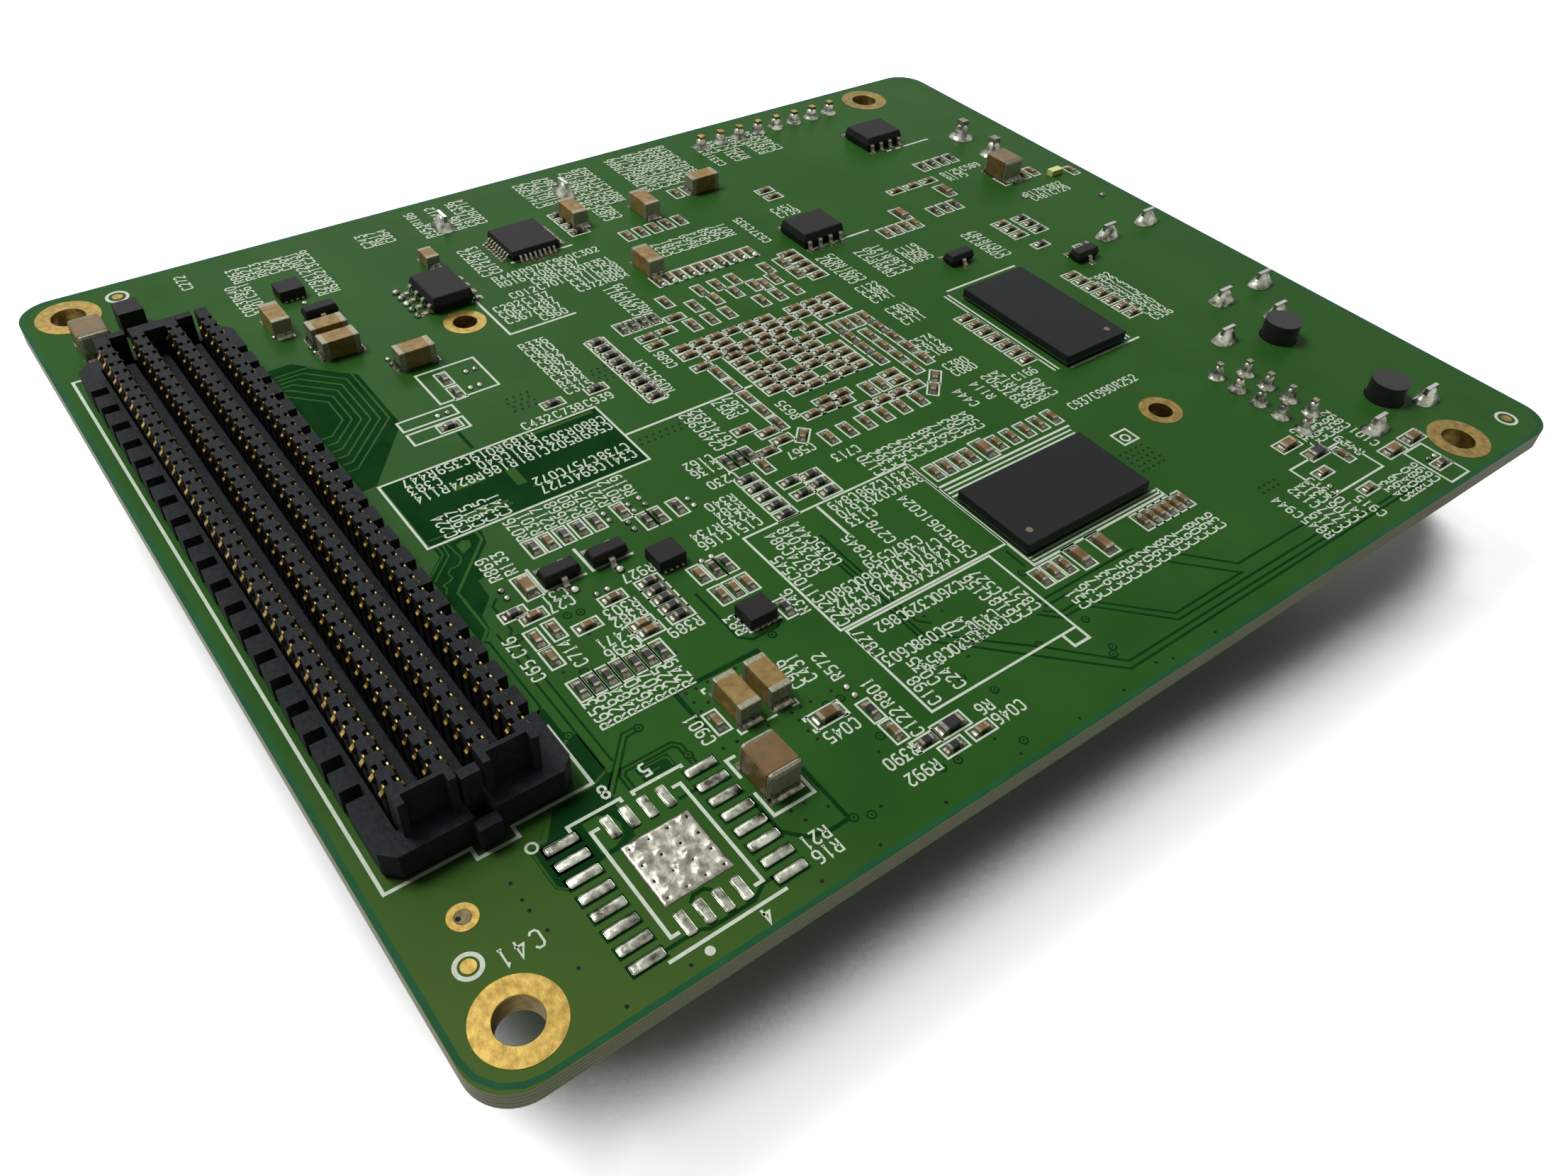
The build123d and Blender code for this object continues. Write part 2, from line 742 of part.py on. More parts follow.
def video_section(margin):
    """The shell's section, drawn inside its outer face by a margin."""
    half = video_width / 2 - margin
    outline(
        (video_y - half, video_bottom + margin),
        (video_y + half, video_bottom + margin),
        (video_y + half, underside - video_slope),
        (video_y + half - video_slope, underside - margin),
        (video_y - half + video_slope, underside - margin),
        (video_y - half, underside - video_slope),
    )


with BuildPart() as video_socket_shell:
    with BuildSketch(Plane.YZ.offset(video_back)):
        video_section(0)
    extrude(amount=video_depth)
    with BuildSketch(Plane.YZ.offset(video_back)):
        video_section(sheet)
    extrude(amount=video_depth, mode=Mode.SUBTRACT)
    with BuildSketch(Plane.XY.offset(underside - video_height / 2)):
        with Locations(*video_tab_seats):
            Rectangle(tab_width, sheet)
    extrude(amount=video_height / 2 + board_thickness + tab_rise)
finish(video_socket_shell, "video_socket_shell")

with BuildPart() as video_socket_insert:
    with BuildSketch(Plane.YZ.offset(video_back)):
        video_section(sheet + slip)
    extrude(amount=video_block)
    with BuildSketch(Plane.YZ.offset(video_back + video_block)):
        with Locations((video_y, underside - video_height / 2)):
            Rectangle(video_tongue_width, video_tongue_thickness)
    extrude(amount=video_tongue_reach)
finish(video_socket_insert, "video_socket_insert")

# USB socket: a square tube with a tongue near its lower side
usb_bottom = underside - usb_height
usb_front = back - usb_depth


def usb_section(margin):
    """The shell's section, drawn inside its outer face by a margin."""
    half = usb_width / 2 - margin
    patch(usb_x - half, usb_bottom + margin, usb_x + half, underside - margin)


with BuildPart() as usb_socket_shell:
    with BuildSketch(Plane.XZ.offset(-back)):
        usb_section(0)
    extrude(amount=usb_depth)
    with BuildSketch(Plane.XZ.offset(-back)):
        usb_section(sheet)
    extrude(amount=usb_depth, mode=Mode.SUBTRACT)
    with BuildSketch(Plane.XY.offset(underside)):
        with Locations(*usb_tab_seats):
            Rectangle(sheet, tab_width)
    extrude(amount=board_thickness + tab_rise)
finish(usb_socket_shell, "usb_socket_shell")

with BuildPart() as usb_socket_insert:
    with BuildSketch(Plane.XZ.offset(-usb_front - usb_block)):
        usb_section(sheet + slip)
    extrude(amount=usb_block)
    with BuildSketch(Plane.XZ.offset(-usb_front - usb_block - usb_tongue_reach)):
        tongue_bottom = usb_bottom + sheet + usb_tongue_lift
        patch(
            usb_x - usb_tongue_width / 2,
            tongue_bottom,
            usb_x + usb_tongue_width / 2,
            tongue_bottom + usb_tongue_thickness,
        )
    extrude(amount=usb_tongue_reach)
finish(usb_socket_insert, "usb_socket_insert")

# Edge header
with BuildPart() as edge_header_body:
    with BuildSketch(Plane.XY.offset(underside - header_body)):
        with Locations((header_x, header_y)):
            Rectangle(header_pins * header_pitch, header_body)
        with Locations(*header_seats):
            header_hole = header_pin_side + 2 * header_pin_fit
            Rectangle(header_hole, header_hole, mode=Mode.SUBTRACT)
    extrude(amount=header_body)
finish(edge_header_body, "edge_header_body")

header_pin_bottom = underside - header_body - header_pin_drop
header_pin_top = surface + header_pin_rise
with BuildPart(Plane.XY.offset(header_pin_bottom)) as edge_header_pins:
    blocks(header_seats, (header_pin_side, header_pin_side, header_pin_top - header_pin_bottom))
finish(edge_header_pins, "edge_header_pins")

# Power header: a base under the laminate with a locking wall on its outer side
power_wall_x = power_x + (power_body_width - power_lock_thickness) / 2
with BuildPart() as power_header_body:
    with BuildSketch(Plane.XY.offset(underside - power_base)):
        with Locations((power_x, power_y)):
            Rectangle(power_body_width, power_body_length)
        with Locations(*power_seats):
            power_hole = power_pin_side + 2 * power_pin_fit
            Rectangle(power_hole, power_hole, mode=Mode.SUBTRACT)
    extrude(amount=power_base)
    with BuildSketch(Plane.XY.offset(underside - power_lock_height)):
        with Locations((power_wall_x, power_y)):
            Rectangle(power_lock_thickness, power_body_length)
    extrude(amount=power_lock_height - power_base)
finish(power_header_body, "power_header_body")

power_pin_bottom = underside - power_base - power_pin_drop
power_pin_height = surface + power_pin_rise - power_pin_bottom
with BuildPart(Plane.XY.offset(power_pin_bottom)) as power_header_pins:
    blocks(power_seats, (power_pin_side, power_pin_side, power_pin_height))
finish(power_header_pins, "power_header_pins")
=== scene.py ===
# %% [markdown]
# # An embedded development board
#
# The board lies with its array socket up. The CAD frame already holds everything with a real
# shape: the laminate, the socket, the chips, and the jacks and the cooler underneath. This script
# dresses that frame: it gives each surface its finish, and adds what is too thin or too small
# for the solids, such as the white print, the copper under the mask, solder and springs.
#
# Everything is in metres. The frame stays where it is, so a new piece goes where the CAD says.

import math
import random

import bmesh
import bpy
from mathutils import Matrix, Vector


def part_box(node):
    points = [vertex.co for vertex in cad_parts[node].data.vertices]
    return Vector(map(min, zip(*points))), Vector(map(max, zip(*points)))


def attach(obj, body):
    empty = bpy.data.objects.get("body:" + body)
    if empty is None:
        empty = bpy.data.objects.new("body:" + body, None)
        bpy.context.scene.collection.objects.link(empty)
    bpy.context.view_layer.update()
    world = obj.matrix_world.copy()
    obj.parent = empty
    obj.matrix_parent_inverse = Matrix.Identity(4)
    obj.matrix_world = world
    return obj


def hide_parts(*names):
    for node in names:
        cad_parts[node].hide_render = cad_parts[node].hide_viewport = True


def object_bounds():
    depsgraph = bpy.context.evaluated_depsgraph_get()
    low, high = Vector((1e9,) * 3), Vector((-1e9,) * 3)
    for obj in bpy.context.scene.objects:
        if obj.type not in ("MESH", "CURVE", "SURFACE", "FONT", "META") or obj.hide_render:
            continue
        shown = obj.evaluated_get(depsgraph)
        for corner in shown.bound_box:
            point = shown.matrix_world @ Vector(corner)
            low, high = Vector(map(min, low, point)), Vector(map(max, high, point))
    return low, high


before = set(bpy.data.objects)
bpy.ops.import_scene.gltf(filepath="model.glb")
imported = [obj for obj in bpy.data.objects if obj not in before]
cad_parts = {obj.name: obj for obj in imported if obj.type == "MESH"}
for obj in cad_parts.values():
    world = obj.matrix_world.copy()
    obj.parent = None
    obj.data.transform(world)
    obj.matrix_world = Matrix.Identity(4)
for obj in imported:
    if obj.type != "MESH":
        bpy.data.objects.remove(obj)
cad_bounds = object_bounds()
print("CAD nodes:", len(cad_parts))

# %% [markdown]
# ## Where things are
#
# A board is drawn from one corner of its outline, so places on it are given here the same way:
# millimetres to the right of and behind the front left corner, and above the upper face. Metres
# from the frame's middle would work too, but every number would then be small, signed and hard to
# check with a ruler. One helper turns such a place into metres in the frame.

# %% Places on the laminate
mm = 0.001
board_low, board_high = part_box("circuit_board")
surface = board_high.z
board_length = (board_high.x - board_low.x) / mm
board_width = (board_high.y - board_low.y) / mm


def spot(x, y, z=0.0):
    """A place on the laminate's upper face, from millimetres off its front left corner."""
    return Vector((board_low.x + x * mm, board_low.y + y * mm, surface + z * mm))


print("laminate", round(board_length, 2), "x", round(board_width, 2), "mm")

# %% [markdown]
# ## Camera
#
# The view is from close by, over the front left corner, with a wide lens. A camera could be turned
# by eye until it looks right, but then it never comes back to the same place. Here its three axes
# are written as rows and its place is in millimetres, so the view can be read off.

# %% Camera
lens_length = 28.75
camera_place = Vector((-57.63, -69.00, 74.49)) * mm
camera_right = Vector((0.79283399, -0.60675495, 0.05712006))
camera_up = Vector((0.39049199, 0.57772406, 0.7167642))
camera_back = Vector((-0.46789985, -0.54597009, 0.69497222))

lens = bpy.data.cameras.new("camera")
lens.lens = lens_length
lens.sensor_width = 36.0
lens.clip_start = 1 * mm
lens.clip_end = 10.0
camera = bpy.data.objects.new("camera", lens)
turn = Matrix((camera_right, camera_up, camera_back)).transposed()
camera.matrix_world = Matrix.Translation(camera_place) @ turn.to_4x4()
bpy.context.scene.collection.objects.link(camera)
bpy.context.scene.camera = camera
bpy.context.scene.view_settings.view_transform = "Standard"
print("camera", [round(v / mm, 1) for v in camera.location])

# %% [markdown]
# ## Floor and light
#
# The board lies on a white table in a white room, so the background burns out to white and only
# a soft shadow stays. The floor is a plain sheet, as far down as the lowest solid. To the camera
# it has a glow of its own, which fades where the board hides the room from it, so the shadow lies
# close under the near edges. The world is white to the camera and in reflections, and dim as a
# light, so a colour renders about as it is written. Two broad lamps behind the board, one at the
# left and a weak one at the right, light its top. A bright world alone would light it evenly from
# all sides, and the small parts would lose their shapes.

# %% Floor
floor_size = 6.0
floor_mesh = bpy.data.meshes.new("table_top")
bm = bmesh.new()
bmesh.ops.create_grid(bm, x_segments=8, y_segments=8, size=floor_size / 2)
bm.to_mesh(floor_mesh)
bm.free()
floor = bpy.data.objects.new("table_top", floor_mesh)
floor.location.z = cad_bounds[0].z
bpy.context.scene.collection.objects.link(floor)

floor_finish = bpy.data.materials.new("table_white")
floor_finish.use_nodes = True
floor_nodes, floor_links = floor_finish.node_tree.nodes, floor_finish.node_tree.links
floor_shader = floor_nodes["Principled BSDF"]
floor_shader.inputs["Base Color"].default_value = (0.86, 0.86, 0.86, 1)
floor_shader.inputs["Roughness"].default_value = 0.6
own_glow = floor_nodes.new("ShaderNodeEmission")
by_camera = floor_nodes.new("ShaderNodeLightPath")
open_sky = floor_nodes.new("ShaderNodeAmbientOcclusion")
open_sky.samples = 32
open_sky.inputs["Distance"].default_value = 26 * mm
falloff = floor_nodes.new("ShaderNodeMapRange")
falloff.interpolation_type = "SMOOTHSTEP"
falloff.inputs["From Min"].default_value = 0.5
falloff.inputs["From Max"].default_value = 0.74
floor_links.new(open_sky.outputs["AO"], falloff.inputs["Value"])
share = floor_nodes.new("ShaderNodeMath")
share.operation = "MULTIPLY"
floor_links.new(falloff.outputs["Result"], share.inputs[1])
own_glow.inputs["Strength"].default_value = 0.8
glow_or_none = floor_nodes.new("ShaderNodeMixShader")
both = floor_nodes.new("ShaderNodeAddShader")
floor_links.new(by_camera.outputs["Is Camera Ray"], share.inputs[0])
floor_links.new(share.outputs[0], glow_or_none.inputs["Fac"])
floor_links.new(own_glow.outputs[0], glow_or_none.inputs[2])
floor_links.new(floor_shader.outputs[0], both.inputs[0])
floor_links.new(glow_or_none.outputs[0], both.inputs[1])
floor_links.new(both.outputs[0], floor_nodes["Material Output"].inputs["Surface"])
floor_mesh.materials.append(floor_finish)
print("floor at", round(floor.location.z / mm, 2), "mm")

# %% World and lamps
world = bpy.data.worlds.new("white_room")
world.use_nodes = True
bpy.context.scene.world = world
room_nodes, room_links = world.node_tree.nodes, world.node_tree.links
room_nodes.clear()
seen = room_nodes.new("ShaderNodeLightPath")
reflected = room_nodes.new("ShaderNodeMath")
reflected.operation = "ADD"
shown = room_nodes.new("ShaderNodeMath")
shown.operation = "ADD"
shown.use_clamp = True
room_light = room_nodes.new("ShaderNodeBackground")
room_light.inputs["Strength"].default_value = 0.06
room_view = room_nodes.new("ShaderNodeBackground")
room_view.inputs["Strength"].default_value = 1.0
choose = room_nodes.new("ShaderNodeMixShader")
world_out = room_nodes.new("ShaderNodeOutputWorld")
for shade in (room_light, room_view):
    shade.inputs["Color"].default_value = (1, 1, 1, 1)
room_links.new(seen.outputs["Is Camera Ray"], reflected.inputs[0])
room_links.new(seen.outputs["Is Glossy Ray"], reflected.inputs[1])
room_links.new(reflected.outputs[0], shown.inputs[0])
room_links.new(seen.outputs["Is Transmission Ray"], shown.inputs[1])
room_links.new(shown.outputs[0], choose.inputs["Fac"])
room_links.new(room_light.outputs[0], choose.inputs[1])
room_links.new(room_view.outputs[0], choose.inputs[2])
room_links.new(choose.outputs[0], world_out.inputs["Surface"])


def soft_lamp(name, place, aim, size, power):
    """A square lamp of one size in metres, turned towards a point."""
    light = bpy.data.lights.new(name, "AREA")
    light.size = size
    light.energy = power
    lamp = bpy.data.objects.new(name, light)
    lamp.location = place
    lamp.rotation_mode = "QUATERNION"
    lamp.rotation_quaternion = (Vector(aim) - Vector(place)).to_track_quat("-Z", "Y")
    bpy.context.scene.collection.objects.link(lamp)
    return lamp


soft_lamp("window_lamp", (-0.22, 0.32, 0.68), (0, 0, 0), 0.3, 5.1)
soft_lamp("far_lamp", (0.16, 0.56, 0.48), (0, 0, 0), 0.25, 0.8)

# %% [markdown]
# ## Finishes
#
# Every surface of a board is a thin coat of something: lacquer, tin, gold, fired clay, moulded
# resin. They differ in colour, in gloss and in a fine grain. One helper makes such a finish from
# two close colours, mixed by a noise of the right grain size, with a little bump from the same
# noise. A painted picture could hold the grain too, but it has seams and blurs from close by.
# Colours are written as they are read from a picture, 0 to 255, and turned into light.

# %% A finish with grain
def light_of(*levels):
    """A colour read from a picture, from 0 to 255, as the light that a shader wants."""
    shares = [level / 255 for level in levels]
    return tuple(s / 12.92 if s < 0.04045 else ((s + 0.055) / 1.055) ** 2.4 for s in shares) + (1,)


grain_detail, ramp_start, ramp_end = 3.0, 0.32, 0.68


def grained(name, colour, other, grain, roughness, metallic=0.0, specular=0.5, bump=0.0):
    """A finish that wanders between two colours, with bump from the same grain (grain in mm)."""
    made = bpy.data.materials.new(name)
    made.use_nodes = True
    nodes, links = made.node_tree.nodes, made.node_tree.links
    shader = nodes["Principled BSDF"]
    place = nodes.new("ShaderNodeTexCoord")
    noise = nodes.new("ShaderNodeTexNoise")
    noise.inputs["Scale"].default_value = 1 / (grain * mm)
    noise.inputs["Detail"].default_value = grain_detail
    links.new(place.outputs["Object"], noise.inputs["Vector"])
    ramp = nodes.new("ShaderNodeValToRGB")
    ramp.color_ramp.elements[0].position = ramp_start
    ramp.color_ramp.elements[0].color = light_of(*colour)
    ramp.color_ramp.elements[1].position = ramp_end
    ramp.color_ramp.elements[1].color = light_of(*other)
    links.new(noise.outputs["Fac"], ramp.inputs["Fac"])
    links.new(ramp.outputs["Color"], shader.inputs["Base Color"])
    shader.inputs["Roughness"].default_value = roughness
    shader.inputs["Metallic"].default_value = metallic
    shader.inputs["Specular IOR Level"].default_value = specular
    if bump:
        relief = nodes.new("ShaderNodeBump")
        relief.inputs["Strength"].default_value = bump
        relief.inputs["Distance"].default_value = grain * mm / 3
        links.new(noise.outputs["Fac"], relief.inputs["Height"])
        links.new(relief.outputs["Normal"], shader.inputs["Normal"])
    return made


print("a mid grey as light:", [round(v, 3) for v in light_of(128, 128, 128)])

# %% [markdown]
# ## The laminate
#
# The laminate is glass cloth in resin, copper on both faces and green solder mask over it. From
# above, mask over copper is a mid green, and where the copper is etched away the same mask is
# darker. Its sawn edge shows the bare cloth in layers. Two finishes could be given to its faces
# one by one, but the slab's mesh stays untouched here. So one finish has both parts, chosen by how
# far a face looks up or down: mask on the faces, layered cloth on the edge.

# %% Mask and sawn edge
mask = grained("green_mask", (42, 84, 32), (48, 92, 36), 9.0, 0.34, specular=0.03)
mask_nodes, mask_links = mask.node_tree.nodes, mask.node_tree.links
mask_shader = mask_nodes["Principled BSDF"]
mask_colour = mask_shader.inputs["Base Color"].links[0].from_node
mask_place = mask_nodes["Texture Coordinate"]
layers = mask_nodes.new("ShaderNodeTexWave")
layers.bands_direction = "Z"
layers.inputs["Scale"].default_value = 1 / (1.1 * mm)
layers.inputs["Distortion"].default_value = 1.5
layers.inputs["Detail Scale"].default_value = 3.0
mask_links.new(mask_place.outputs["Object"], layers.inputs["Vector"])
cloth = mask_nodes.new("ShaderNodeValToRGB")
cloth.color_ramp.elements[0].color = light_of(114, 120, 92)
cloth.color_ramp.elements[1].color = light_of(152, 154, 126)
mask_links.new(layers.outputs["Fac"], cloth.inputs["Fac"])
facing = mask_nodes.new("ShaderNodeSeparateXYZ")
mask_links.new(mask_place.outputs["Normal"], facing.inputs["Vector"])
upright = mask_nodes.new("ShaderNodeMath")
upright.operation = "ABSOLUTE"
mask_links.new(facing.outputs["Z"], upright.inputs[0])
# Painted light: the mask is painted lighter and warmer towards the near left corner
along = mask_nodes.new("ShaderNodeSeparateXYZ")
mask_links.new(mask_place.outputs["Object"], along.inputs["Vector"])
reach = mask_nodes.new("ShaderNodeMath")
reach.operation = "ADD"
mask_links.new(along.outputs["X"], reach.inputs[0])
mask_links.new(along.outputs["Y"], reach.inputs[1])
painted_light_share = mask_nodes.new("ShaderNodeMapRange")
corner_reach = board_low.x + board_low.y
painted_light_share.inputs["From Min"].default_value = corner_reach + 4 * mm
painted_light_share.inputs["From Max"].default_value = corner_reach + 30 * mm
painted_light_share.inputs["To Min"].default_value = 1.0
painted_light_share.inputs["To Max"].default_value = 0.0
mask_links.new(reach.outputs[0], painted_light_share.inputs["Value"])
painted_light_mask = mask_nodes.new("ShaderNodeMix")
painted_light_mask.data_type = "RGBA"
painted_light_mask.inputs["B"].default_value = light_of(76, 100, 44)
mask_links.new(painted_light_share.outputs["Result"], painted_light_mask.inputs["Factor"])
mask_links.new(mask_colour.outputs["Color"], painted_light_mask.inputs["A"])
side_or_face = mask_nodes.new("ShaderNodeMix")
side_or_face.data_type = "RGBA"
mask_links.new(upright.outputs[0], side_or_face.inputs["Factor"])
mask_links.new(cloth.outputs["Color"], side_or_face.inputs["A"])
mask_links.new(painted_light_mask.outputs["Result"], side_or_face.inputs["B"])
mask_links.new(side_or_face.outputs["Result"], mask_shader.inputs["Base Color"])


def wear(node, finish):
    """Give a CAD node its finish."""
    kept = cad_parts[node].data.materials
    kept.clear()
    kept.append(finish)


wear("circuit_board", mask)
print("nodes of the mask finish:", len(mask_nodes))

# %% [markdown]
# ## The other finishes
#
# Metals first. Tin is dull and slightly rough, gold is a thin bright plate, and the shields are
# rolled sheet. The mouldings are dark resins that differ in warmth and in grain. Their gloss is
# low, because glass fibre comes up to the skin. Each is one line with the same helper, so any two
# of them can be compared at a glance.

# %% Metals
tin = grained("tin_ends", (104, 100, 86), (158, 152, 134), 0.25, 0.45, metallic=0.6, bump=0.25)
solder = grained("solder_joints", (54, 52, 44), (138, 134, 118), 0.3, 0.32, metallic=0.9, bump=0.5)
gold = grained("gold_plate", (116, 96, 48), (152, 128, 68), 0.5, 0.42, metallic=1.0, bump=0.12)
barrel_gold = grained("barrel_gold", (104, 90, 52), (150, 134, 88), 0.4, 0.5, specular=0.3)
spring_gold = grained("spring_gold", (112, 88, 40), (196, 166, 92), 0.5, 0.3, metallic=1.0)
sheet_metal = grained("plated_sheet", (168, 168, 164), (190, 190, 186), 1.2, 0.3, metallic=1.0, bump=0.1)
anodised = grained("black_anodised", (24, 24, 26), (34, 34, 36), 0.3, 0.45, metallic=0.6, bump=0.15)
print("metals:", [m.name for m in (tin, solder, gold, spring_gold, sheet_metal, anodised)])

# %% Mouldings, clay and print
socket_resin = grained("socket_resin", (10, 11, 12), (30, 32, 36), 0.3, 0.6, specular=0.12, bump=0.4)
memory_resin = grained("memory_resin", (22, 26, 24), (28, 32, 29), 0.09, 0.62, specular=0.12, bump=0.3)
chip_resin = grained("chip_resin", (20, 21, 20), (32, 33, 31), 0.08, 0.6, specular=0.14, bump=0.3)
jack_resin = grained("jack_resin", (16, 16, 17), (24, 24, 25), 0.15, 0.5, specular=0.3, bump=0.15)
substrate = grained("chip_substrate", (24, 40, 20), (34, 52, 28), 0.6, 0.5, specular=0.2)
tan_clay = grained("tan_clay", (124, 96, 50), (158, 130, 76), 0.7, 0.5, specular=0.25, bump=0.08)
brown_clay = grained("brown_clay", (106, 82, 44), (122, 95, 55), 0.9, 0.32, specular=0.35, bump=0.05)
resistor_body = grained("resistor_body", (52, 50, 46), (74, 70, 64), 0.3, 0.5, specular=0.25)
small_clay = grained("small_clay", (92, 68, 42), (142, 112, 74), 1.6, 0.5, specular=0.2)
dull_silver = grained("dull_silver", (120, 118, 98), (152, 148, 124), 0.2, 0.5, metallic=0.35, bump=0.3)
white_clay = grained("white_clay", (172, 172, 164), (196, 196, 188), 0.3, 0.5, specular=0.3)
black_glaze = grained("black_glaze", (20, 20, 22), (34, 34, 36), 0.25, 0.3, specular=0.3)
silk = grained("white_print", (200, 210, 192), (218, 226, 208), 0.35, 0.6, specular=0.2, bump=0.1)
bare = grained("mask_on_laminate", (18, 55, 24), (26, 65, 30), 3.0, 0.4, specular=0.0)
rim_green = grained("mask_on_rim", (30, 82, 52), (36, 92, 58), 3.0, 0.36, specular=0.04)
covered = grained("mask_on_copper", (46, 86, 32), (56, 96, 38), 3.0, 0.36, specular=0.02)
# Painted shade: a near-black finish for holes that the solids don't drill, whose inside is in shadow
painted_hole_shade = grained("painted_hole_shade", (8, 14, 8), (16, 24, 14), 0.3, 0.6, specular=0.1)
soft_grey = grained("gap_pad", (120, 128, 136), (134, 142, 150), 0.8, 0.8, specular=0.1, bump=0.2)
light_lens = grained("light_lens", (206, 214, 120), (224, 230, 140), 0.6, 0.25, specular=0.5)
print("finishes:", len(bpy.data.materials))

# %% [markdown]
# The parts whose solids are already right keep them, and only get their finish.

# %% Dress the solids that stay
dressed = {
    socket_resin: ["array_socket_housing"],
    chip_resin: ["diode_block"],
    substrate: ["processor_package"],
    soft_grey: ["thermal_pad"],
    anodised: ["heat_sink"],
    sheet_metal: ["network_jack_shell", "video_socket_shell", "usb_socket_shell"],
    spring_gold: ["network_jack_contacts", "edge_header_pins"],
    tin: ["network_jack_pins", "power_header_pins"],
    jack_resin: [
        "network_jack_housing", "video_socket_insert", "usb_socket_insert",
        "edge_header_body", "power_header_body",
    ],
    light_lens: ["status_light"],
}
for one, nodes in dressed.items():
    for node in nodes:
        wear(node, one)
print("dressed:", sum(len(nodes) for nodes in dressed.values()), "CAD nodes")

# %% [markdown]
# The moulded plastic gets fine round edges from a modifier, which leaves its mesh as it is.

# %% Round the edges of the mouldings
for node, radius in (("array_socket_housing", 0.05), ("network_jack_housing", 0.45)):
    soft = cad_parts[node].modifiers.new("soft_edges", "BEVEL")
    soft.width = radius * mm
    soft.segments = 1
    soft.limit_method = "ANGLE"
    soft.angle_limit = math.radians(50)
print("rounded mouldings: array socket and network jack")

# %% [markdown]
# ## Tools for thin and small shapes
#
# Most of what is added is one of four shapes: a flat solid over an outline, a strip of one width
# along a path, a turned shape, and a small brick with rounded edges. Each tool adds its shape to
# an open mesh, so one piece can hold hundreds of them, and each shape is closed.

# %% Flat solids and strips
def skin(bm, corners, paint):
    """One face over some corners, with one of the piece's finishes."""
    bm.faces.new(corners).material_index = paint


def neighbours(rows, closed):
    """Each row with the next one, and in a closed shape the last with the first."""
    return zip(rows, rows[1:] + rows[:1] if closed else rows[1:])


def tube(bm, rows, paint, closed=False):
    """Skin between rings of corners, one after the other."""
    for one, two in neighbours(rows, closed):
        for i, here in enumerate(one):
            j = (i + 1) % len(one)
            skin(bm, (here, one[j], two[j], two[i]), paint)


def solid(bm, rows, paint):
    """A tube with both its ends shut."""
    tube(bm, rows, paint)
    skin(bm, list(reversed(rows[0])), paint)
    skin(bm, rows[-1], paint)


def flat(bm, outline, low, high):
    """A flat solid over an outline in millimetres, between two heights above the face."""
    solid(bm, [[bm.verts.new(spot(x, y, z)) for x, y in outline] for z in (low, high)], 0)


def rectangle(x0, y0, x1, y1):
    """The corners of a rectangle, anticlockwise."""
    return [(x0, y0), (x1, y0), (x1, y1), (x0, y1)]


def swung(x, y, turn):
    """A step along the board, turned anticlockwise by some degrees."""
    return Matrix.Rotation(math.radians(turn), 2) @ Vector((x, y))


mitre_limit = 0.4


def strip(bm, path, width, low, high, closed=False, paint=0):
    """A strip of one width along a path in millimetres, with mitred corners."""
    points = [Vector(p) for p in path]
    rails = []
    for i, here in enumerate(points):
        back = points[i - 1] if i or closed else None
        ahead = points[(i + 1) % len(points)] if i + 1 < len(points) or closed else None
        way_in = (here - back).normalized() if back is not None else (ahead - here).normalized()
        way_out = (ahead - here).normalized() if ahead is not None else way_in
        across = Vector((-way_in.y - way_out.y, way_in.x + way_out.x))
        across = across.normalized() if across.length > 1e-6 else Vector((-way_in.y, way_in.x))
        reach = width / 2 / max(across.dot(Vector((-way_out.y, way_out.x))), mitre_limit)
        a, b = here + across * reach, here - across * reach
        corners = (a.x, a.y, low), (b.x, b.y, low), (b.x, b.y, high), (a.x, a.y, high)
        rails.append([bm.verts.new(spot(*corner)) for corner in corners])
    if closed:
        tube(bm, rails, paint, closed)
    else:
        solid(bm, rails, paint)


print("strips keep their mitres under", round(1 / mitre_limit, 1), "widths")

# %% Turned shapes and bricks
def turned(bm, x, y, profile, sides, closed=False, paint=0):
    """A shape turned round an upright line, from its profile of radii and heights in millimetres."""
    rows = []
    for radius, height in profile:
        if radius:
            angles = [math.tau * i / sides for i in range(sides)]
            ends = [spot(x + radius * math.cos(a), y + radius * math.sin(a), height) for a in angles]
        else:
            ends = [spot(x, y, height)]
        rows.append([bm.verts.new(end) for end in ends])
    for one, two in neighbours(rows, closed):
        for i in range(sides):
            j = (i + 1) % sides
            corners = [one[i % len(one)], one[j % len(one)], two[j % len(two)], two[i % len(two)]]
            skin(bm, list(dict.fromkeys(corners)), paint)


def disc(bm, x, y, radius, low, high, sides, paint=0):
    """A round disc between two heights above the face."""
    turned(bm, x, y, [(0, low), (radius, low), (radius, high), (0, high)], sides, paint=paint)


def washer(bm, x, y, inner, outer, high, sides):
    """A flat ring that lies on the face."""
    turned(bm, x, y, [(inner, 0), (outer, 0), (outer, high), (inner, high)], sides, closed=True)


def rounded(bm, old, edges, edge, rounds, paint):
    """Round some edges of a new shape, and give all its faces one of the piece's finishes."""
    bmesh.ops.bevel(bm, geom=edges, offset=edge * mm, segments=rounds, profile=0.5, affect="EDGES")
    new = [face for face in bm.faces if face not in old]
    for face in new:
        face.material_index = paint
    return list(dict.fromkeys(v for face in new for v in face.verts))


def brick(bm, low, high, edge, paint, rounds=1, place=None):
    """A small block between two corners round the origin, in millimetres, with rounded edges."""
    old = set(bm.faces)
    low, high = Vector(low) * mm, Vector(high) * mm
    shape = Matrix.Translation((low + high) / 2) @ Matrix.Diagonal((*(high - low), 1))
    made = bmesh.ops.create_cube(bm, size=1, matrix=shape)
    edges = list(dict.fromkeys(e for v in made["verts"] for e in v.link_edges))
    corners = rounded(bm, old, edges, edge, rounds, paint)
    if place:
        bmesh.ops.transform(bm, matrix=place, verts=corners)


print("tools for turned shapes, discs, washers and bricks are ready")

